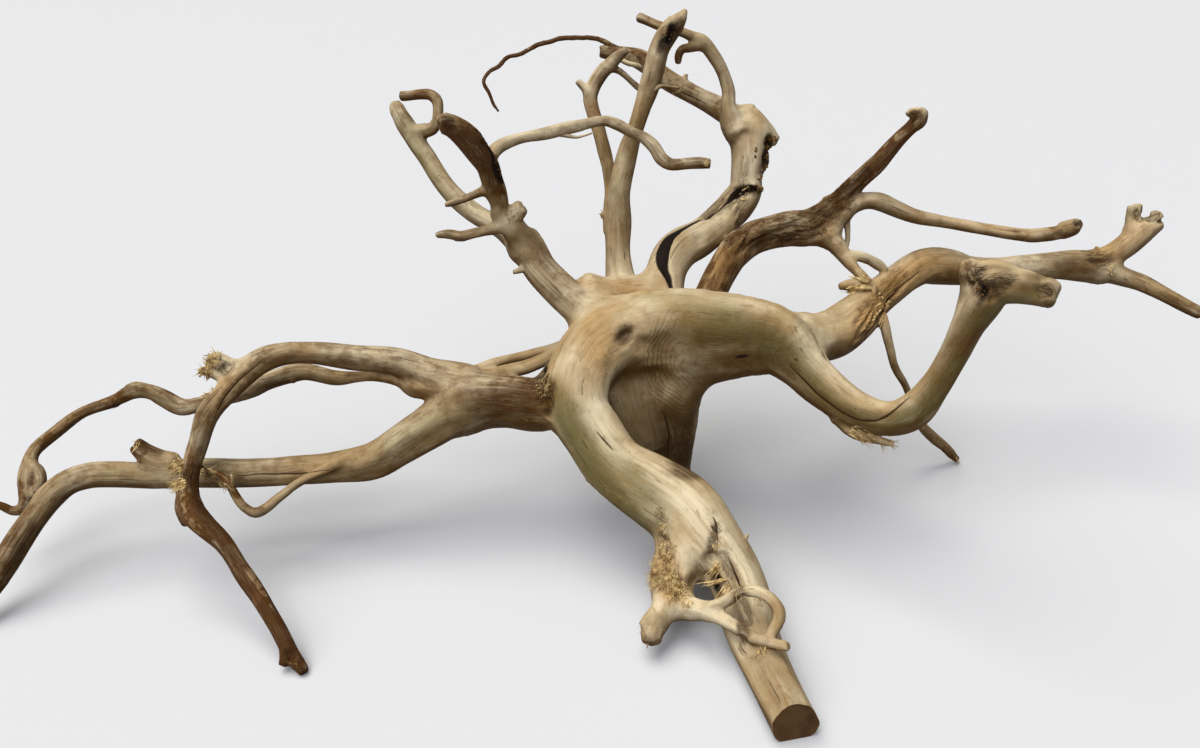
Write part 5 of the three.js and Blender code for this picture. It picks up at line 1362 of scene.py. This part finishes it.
    # Fine dark lines: long checks, the grooves between strands as painted shade, and the ripples of the
    # hollow's grain
    centre = {"operation": "DISTANCE", 0: solid, 1: place(*RIPPLE_CENTRE) * METRE}
    centre = add_node(tree, "ShaderNodeVectorMath", centre).outputs["Value"]
    ripples = (waves(centre, wobble, 0.010, RIPPLE_WIDTH), 0.7, 1.0)
    line = strength((checks, 0.715, 0.765), (cloud, 0.42, 0.52, 0.0, 0.75))
    for other in (
        strength(marks["groove"], (fibres, 0.3, 0.6, 0.4, 0.9)),
        strength(ripples, marks["ripple"], (cloud, 0.3, 0.5, 0.5, 1.0), 0.42),
    ):
        line = add_node(tree, "ShaderNodeMath", {"operation": "MAXIMUM", 0: line, 1: other}).outputs[0]
    colour = coat(colour, colours.brown, line, 0.7)

    # The cracks: an attribute gives the distance from the nearest one and its half width there; their insides
    # are painted brown or black as shade
    depth = line
    for name, over, soft in (("crack_thin", colours.brown, 0.0006), ("crack_black", colours.char, 0.0009)):
        parts = add_node(tree, "ShaderNodeSeparateXYZ", {0: marks[name]}).outputs
        aside = add_node(tree, "ShaderNodeMath", {"operation": "ABSOLUTE", 0: parts[0]})
        inside = add_node(tree, "ShaderNodeMath", {"operation": "SUBTRACT", 0: parts[1], 1: aside.outputs[0]})
        opened = strength((inside.outputs[0], -soft * 0.5, soft), (parts[1], 0.0, 0.0004))
        colour = coat(colour, over, opened)
        depth = add_node(tree, "ShaderNodeMath", {"operation": "MAXIMUM", 0: depth, 1: opened}).outputs[0]

    # Painted shade in the dark lines between the strands of the roughest wood, and black rot over all
    off_line = add_node(tree, "ShaderNodeMath", {"operation": "SUBTRACT", 0: strands, 1: 0.5})
    off_line = add_node(tree, "ShaderNodeMath", {"operation": "ABSOLUTE", 0: off_line.outputs[0]})
    strand_lines = strength((off_line.outputs[0], 0.06, 0.0), marks["rough"])
    colour = coat(colour, colours.stain, strand_lines, 0.7)
    # Partly painted shade: black in the hollow ends, holes and cracks, besides black rot
    colour = coat(colour, colours.char, marks["char"], (mottle, 0.3, 0.6, 0.6, 1.3))

    # The sawn faces show growth rings around the heart of the arm
    across = {"operation": "MULTIPLY", 0: marks["grain_here"], 1: (0, 1, 1)}
    across = add_node(tree, "ShaderNodeVectorMath", across).outputs[0]
    radial = add_node(tree, "ShaderNodeVectorMath", {"operation": "LENGTH", 0: across}).outputs["Value"]
    rings = (waves(radial, mottle, 0.004, RING_WIDTH), 0.2, 1.0, 0.0, 0.35)
    ends = coat(colours.sawn, colours.brown, (mottle, 0.35, 0.75, 0.1, 0.8))
    colour = coat(colour, coat(ends, colours.brown, rings), marks["sawn"])

    height = strength(streaks, -0.55)
    for other in (
        strength(fibres, -0.35), strength(strand_lines, -1.5), strength(mottle, marks["rough"], 2.4),
        strength(fibres, marks["rough"], -1.6), strength(depth, -1.4),
    ):
        height = add_node(tree, "ShaderNodeMath", {"operation": "ADD", 0: height, 1: other}).outputs[0]
    bump = add_node(tree, "ShaderNodeBump", {"Strength": 0.9, "Distance": 0.0009, "Height": height})
    shader = add_node(tree, "ShaderNodeBsdfPrincipled", {
        "Base Color": colour, "Roughness": strength((streaks, 0.35, 0.65, 0.66, 0.84)), "IOR": WOOD_IOR,
        "Specular IOR Level": 0.15, "Normal": bump.outputs[0]})
    add_node(tree, "ShaderNodeOutputMaterial", {"Surface": shader.outputs[0]})
    return material


def patched_wood(name, patch, detail, low, under, over, roughness, gloss):
    """Broken wood, matt and without grain, that changes from one colour to another in patches of a size."""
    material, tree = new_material(name)
    solid = add_node(tree, "ShaderNodeTexCoord").outputs["Object"]
    noise = add_node(tree, "ShaderNodeTexNoise", {"Vector": solid, "Scale": 1 / patch, "Detail": detail})
    rise = {"Value": noise.outputs["Fac"], "From Min": low, "From Max": 0.62}
    rise = add_node(tree, "ShaderNodeMapRange", rise)
    mix = add_node(tree, "ShaderNodeMix", {"data_type": "RGBA", 0: rise.outputs[0], 6: under, 7: over})
    shader = add_node(tree, "ShaderNodeBsdfPrincipled", {
        "Base Color": mix.outputs[2], "Roughness": roughness, "IOR": WOOD_IOR, "Specular IOR Level": gloss})
    add_node(tree, "ShaderNodeOutputMaterial", {"Surface": shader.outputs[0]})
    return material


def wood_arms(thin):
    """The root's arms with their small forms, thickest first, or only the thin ones."""
    routes = {**ROUTES, **SMALL_FORMS}
    arms = [Arm(name, route, turn) for turn, (name, route) in enumerate(routes.items())]
    return sorted([arm for arm in arms if (arm.name in THIN) == thin], key=lambda arm: -arm.radius.mean())


def finish_piece(piece, material):
    """Gives a piece its material and its place in the frame."""
    piece.data.materials.append(material)
    for polygon in piece.data.polygons:
        polygon.use_smooth = True
    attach(piece, "root")


def baked(piece):
    """Turns a piece's modifiers into its mesh."""
    bpy.context.view_layer.update()
    mesh = bpy.data.meshes.new_from_object(piece.evaluated_get(bpy.context.evaluated_depsgraph_get()))
    piece.modifiers.clear()
    piece.data = mesh
    return mesh


def carved(points, normals, arms, nearest, gaps, marks, flute, gnarl):
    """The skin's points lifted into flutes, bends and gnarls, and sunk in the hollows and cracks."""
    seen, balls, lines = marks

    def relief(coords, radius, number):
        """Ridges that wind slowly along the arm, and broad bends in its surface."""
        wide = np.maximum(radius, 3)
        y, z = twisted(coords, 210)
        ridge = 0.42 * wide + 1.5
        shifted = np.stack([coords[:, 0] / 70 + 17 * number, y / ridge, z / ridge], 1)
        ridges = woven(shifted, 5) - 0.5
        fine = woven(shifted * [2.4, 2.3, 2.3], 6) - 0.5
        bend = np.stack([coords[:, 0] / (4.5 * wide) + 5 * number, y / (3 * wide), z / (3 * wide)], 1)
        size = np.clip(radius / 14, 0.28, 1.3)
        return flute * size * (1.5 * ridges + 0.7 * fine) + 1.7 * size * (woven(bend, 8) - 0.5)

    lift = blended(arms, points, nearest, gaps, BLEND, relief)
    knots = woven(points / 5.2, 14) + 0.6 * woven(points / 2.4, 15) - 0.8
    grooves = blended(arms, points, nearest, gaps, BLEND, strand_grooves)
    lift += stroke_amount(points, balls["rough"], 31, False) * gnarl * (knots - 2.0 * grooves)
    for column, row, radius, depth in HOLLOWS:
        centre, _ = seen.hit(column, row)
        around = radius * reach_of(centre) / FOCAL_PIXELS
        lift -= depth * smooth(1.0, 0.1, np.linalg.norm(points - centre, axis=1) / around)
    for cracks in lines.values():
        signed, across, deep = off_cracks(points, normals, cracks)
        opened = np.maximum(across, LEAST_OPENING)
        lift -= deep * smooth(1.5 * opened, 0.15 * opened, np.abs(signed)) * (across > 0)
    return points + normals * lift[:, None]


class ROOT_OT_grow_wood(bpy.types.Operator):
    """Grows the root's skin: every arm with its forks filled, its flutes, hollows, cracks and saw cuts"""

    bl_idname = "root.grow_wood"
    bl_label = "Grow the Wood"

    def execute(self, context):
        sizes = context.scene.wood_sizes
        arms = wood_arms(thin=False)
        bm = bmesh.new()
        for arm in arms:
            draw_tube(bm, arm, 16 if arm.radius.mean() > 8 else 10, 0.6)
        piece = object_from(bm, "spiderwood_skin")
        remesh = piece.modifiers.new("skin", "REMESH")
        remesh.mode = "VOXEL"
        remesh.voxel_size = sizes.cell
        mesh = baked(piece)
        edges, points = fetched(mesh.edges, "vertices", 2, np.int32), get_points(mesh)
        forks = (sizes.fillet, sizes.least_fillet / METRE, sizes.most_fillet / METRE)
        for _ in range(3):
            points += 0.55 * (neighbour_mean(points, edges) - points)
            gap, out, nearest, gaps = grown_surface(points, arms, *forks)
            points -= np.clip(gap, -MOST_MOVE, MOST_MOVE)[:, None] * out
        set_points(mesh, points)
        normals, marks = fetched(mesh.vertex_normals, "vector", 3), marks_on(piece)
        heights = sizes.flute / METRE, sizes.gnarl / METRE
        set_points(mesh, carved(points, normals, arms, nearest, gaps, marks, *heights))

        bm = bmesh.new()
        bm.from_mesh(mesh)
        cuts = (
            (Vector(place(*STEM_CUT) * METRE), Vector(STEM_FACING).normalized(), 0.999),
            (Vector((0, 0, 0)), Vector((0, 0, -1)), 0.9999),
        )
        for spot, way, _ in cuts:
            geom = bm.verts[:] + bm.edges[:] + bm.faces[:]
            plane = {"plane_co": spot, "plane_no": way, "clear_outer": True, "dist": 1e-7}
            cut = bmesh.ops.bisect_plane(bm, geom=geom, **plane)
            rim = [g for g in cut["geom_cut"] if isinstance(g, bmesh.types.BMEdge)]
            bmesh.ops.triangle_fill(bm, edges=rim, use_beauty=True, normal=way)
        bmesh.ops.recalc_face_normals(bm, faces=bm.faces)
        bm.to_mesh(mesh)
        bm.free()
        thin_out = piece.modifiers.new("thin_out", "DECIMATE")
        thin_out.ratio = min(1.0, sizes.most_triangles / (len(mesh.loops) - 2 * len(mesh.polygons)))
        mesh = baked(piece)

        points = get_points(mesh)
        _, _, nearest, gaps = grown_surface(points, arms, *forks)
        _, balls, lines = marks_on(piece)
        write_grain(mesh, arms, points, nearest, 10.0)
        write_tones(mesh, arms, balls, lines, nearest, gaps)
        ways, centres = fetched(mesh.polygons, "normal", 3), fetched(mesh.polygons, "center", 3)
        sawn = np.zeros(len(ways))
        for spot, way, level in cuts:
            sawn[(ways @ way > level) & (np.abs((centres - spot) @ way) < SAWN_FLATNESS)] = 1
        write_attribute(mesh, "sawn", "FACE", sawn)
        finish_piece(piece, bare_wood(context.scene.wood_colours, sizes))
        mesh.set_sharp_from_angle(angle=math.radians(60))
        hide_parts("spiderwood_root")
        return {"FINISHED"}


class ROOT_OT_draw_thin_arms(bpy.types.Operator):
    """Draws the arms that are too thin for the skin, each as a tube that is sunk into what it grows from"""

    bl_idname = "root.draw_thin_arms"
    bl_label = "Draw the Thin Arms"

    def execute(self, context):
        arms = wood_arms(thin=True)
        bm = bmesh.new()
        for arm in arms:
            draw_tube(bm, arm, 10, 0.55)
        piece = object_from(bm, "spiderwood_thin_arms")
        mesh = piece.data
        points = get_points(mesh)
        _, _, nearest, gaps = grown_surface(points, arms, 0.5, 0.3, 1.0)
        bumps = 0.7 * (woven(points / 2.2, 9) - 0.5)
        points += fetched(mesh.vertex_normals, "vector", 3) * bumps[:, None]
        points[:, 2] = np.maximum(points[:, 2], 0)
        set_points(mesh, points)
        _, balls, lines = marks_on(bpy.data.objects["spiderwood_skin"])
        write_grain(mesh, arms, points, nearest, 2.0)
        write_tones(mesh, arms, balls, lines, nearest, gaps)
        finish_piece(piece, bpy.data.materials["bare_spiderwood"])
        return {"FINISHED"}


class ROOT_OT_fray_ends(bpy.types.Operator):
    """Tears fibres and splinters out of the wood at its broken ends and knots"""

    bl_idname = "root.fray_ends"
    bl_label = "Fray the Ends"

    def execute(self, context):
        draw = np.random.default_rng(41)
        seen = Seen(bpy.data.objects["spiderwood_skin"])
        bm = bmesh.new()
        rises = (0, 0.3, 0.55, 0.8, 1)
        draw_rings(bm, [Matrix.Translation((0, 0, z)) @ Matrix.Scale(1 - 0.75 * z, 4) for z in rises], 4)
        placed = []
        for column, row, count, fibre, thickness, flatness, spread, to_column, to_row in TUFTS + SPLINTERS:
            lean = unit(np.array([to_column, 0, 0]) - UPWARD * to_row)
            stiff, bent = (0.4, 0.15) if fibre > LONG_FIBRE else (1.0, 1.0)
            for spot, normal in seen.scatter(column, row, spread, count, draw):
                way = unit(lean + 0.45 * stiff * normal + draw.normal(0, 0.35 * stiff, 3))
                side = unit(np.cross(way, normal + draw.normal(0, 0.4, 3)))
                size, thick = fibre * draw.uniform(0.35, 1.1), thickness * draw.uniform(0.5, 1.3)
                bow, curl = size * draw.uniform(-0.65, 0.65, 2) * bent
                placed.append((spot, way, side, np.cross(way, side), size, thick, flatness, bow, curl))

        def bend(corners):
            """The fibre's corners at every place, bent sideways and up towards its tip."""
            x, y, z = (corners[:, k, None] for k in range(3))
            for spot, way, side, over, size, thick, flat, bow, curl in placed:
                across = (bow * z ** 2 + flat * thick * x) * side + (curl * z ** 2 + thick * y) * over
                yield spot + size * (z - 0.15) * way + across

        piece = copies_from(bm, "spiderwood_torn_fibres", bend)
        # Torn spiderwood fibre: fresh and pale, with brown patches where the weather reached it
        colours = context.scene.wood_colours
        fibre = ("torn_spiderwood_fibre", 0.004, 2.0, 0.34, colours.streak, colours.fibres, 0.85, 0.25)
        finish_piece(piece, patched_wood(*fibre))
        return {"FINISHED"}


class ROOT_OT_crumble_rot(bpy.types.Operator):
    """Sets crumbs of rotten wood along the black cracks and in the hollow ends"""

    bl_idname = "root.crumble_rot"
    bl_label = "Crumble the Rot"

    def execute(self, context):
        draw = np.random.default_rng(7)
        seen = Seen(bpy.data.objects["spiderwood_skin"])
        bm = bmesh.new()
        bmesh.ops.create_icosphere(bm, subdivisions=2, radius=1)
        placed = []
        for column, row, count, size, spread in CRUMBS:
            for spot, normal in seen.scatter(column, row, spread, count, draw):
                side = unit(np.cross(normal, draw.normal(0, 1, 3)))
                half = 0.5 * size * draw.uniform(0.4, 1.0)
                placed.append((spot, side, np.cross(normal, side), normal, half))

        def crumple(corners):
            """The crumb's corners at every place, flattened and crumpled."""
            x, y, z = (corners[:, k, None] for k in range(3))
            for spot, side, over, up, half in placed:
                crumpled = 0.2 * draw.normal(0, 1, corners.shape)
                yield spot + half * (x * side + 0.6 * y * over + 0.55 * z * up + crumpled)

        piece = copies_from(bm, "spiderwood_crumbs", crumple)
        # Rotten spiderwood: dark brown and quite matt, with lighter spots
        colours = context.scene.wood_colours
        rot = ("rotten_spiderwood", 0.005, 3.0, 0.38, colours.brown, colours.streak, 0.92, 0.2)
        finish_piece(piece, patched_wood(*rot))
        return {"FINISHED"}


class ROOT_OT_light_stage(bpy.types.Operator):
    """Lays the pale floor, hangs the soft lights and stands the camera at the standpoint"""

    bl_idname = "root.light_stage"
    bl_label = "Light the Stage"

    def execute(self, context):
        scene = context.scene
        bm = bmesh.new()
        bmesh.ops.create_grid(bm, x_segments=1, y_segments=1, size=FLOOR_HALF)
        bmesh.ops.translate(bm, verts=bm.verts, vec=(0, 0, -FLOOR_GAP))
        floor = object_from(bm, "floor")
        material = bpy.data.materials.new("pale_floor")
        material.use_nodes = True
        shader = material.node_tree.nodes["Principled BSDF"]
        shader.inputs["Base Color"].default_value = scene.wood_colours.floor
        shader.inputs["Roughness"].default_value = 0.9
        floor.data.materials.append(material)
        floor.visible_diffuse = False
        for name, way, spread, power, tint in LAMPS:
            light = bpy.data.lights.new(name, "SUN")
            light.angle = math.radians(spread)
            light.energy = power
            light.color = linear(tint)[:3]
            lamp = bpy.data.objects.new(name, light)
            lamp.location = Vector(way) * 2
            lamp.rotation_euler = Vector(way).to_track_quat("Z", "Y").to_euler()
            scene.collection.objects.link(lamp)
        world = bpy.data.worlds.new("studio")
        world.use_nodes = True
        tree = world.node_tree
        sky = tree.nodes["Background"]
        sky.inputs["Color"].default_value = linear("#FBFBFA")
        seen = add_node(tree, "ShaderNodeLightPath").outputs["Is Camera Ray"]
        bright = add_node(tree, "ShaderNodeMapRange", {"Value": seen, "To Min": 0.16, "To Max": 0.8})
        tree.links.new(bright.outputs[0], sky.inputs["Strength"])
        scene.world = world
        camera = bpy.data.cameras.new("camera")
        camera.sensor_width = SENSOR
        camera.lens = FOCAL_PIXELS / PICTURE[0] * SENSOR
        camera.clip_start = 0.01
        viewer = bpy.data.objects.new("camera", camera)
        viewer.location = Vector(EYE * METRE)
        viewer.rotation_euler = (math.pi / 2 - EYE_PITCH, 0, 0)
        scene.collection.objects.link(viewer)
        scene.camera = viewer
        scene.view_settings.view_transform = "Standard"
        return {"FINISHED"}


class ROOT_PT_panel(bpy.types.Panel):
    """The root's steps and its sizes and colours"""

    bl_idname = "ROOT_PT_panel"
    bl_label = "Spiderwood Root"
    bl_space_type = "VIEW_3D"
    bl_region_type = "UI"
    bl_category = "Root"

    def draw(self, context):
        for step in STEPS:
            self.layout.operator(step.bl_idname)
        for group in (context.scene.wood_sizes, context.scene.wood_colours):
            for name in group.__annotations__:
                self.layout.prop(group, name)


STEPS = (
    ROOT_OT_grow_wood, ROOT_OT_draw_thin_arms, ROOT_OT_fray_ends, ROOT_OT_crumble_rot, ROOT_OT_light_stage,
)
CLASSES = (WoodSizes, WoodColours, *STEPS, ROOT_PT_panel)


def register():
    """Registers the classes, and gives the scene its sizes and colours."""
    for made in CLASSES:
        bpy.utils.register_class(made)
    bpy.types.Scene.wood_sizes = bpy.props.PointerProperty(type=WoodSizes)
    bpy.types.Scene.wood_colours = bpy.props.PointerProperty(type=WoodColours)


def unregister():
    """Takes away what register added."""
    del bpy.types.Scene.wood_sizes
    del bpy.types.Scene.wood_colours
    for made in reversed(CLASSES):
        bpy.utils.unregister_class(made)


def main():
    """Builds the whole scene."""
    register()
    bpy.ops.root.grow_wood()
    bpy.ops.root.draw_thin_arms()
    bpy.ops.root.fray_ends()
    bpy.ops.root.crumble_rot()
    bpy.ops.root.light_stage()


if __name__ == "__main__":
    main()
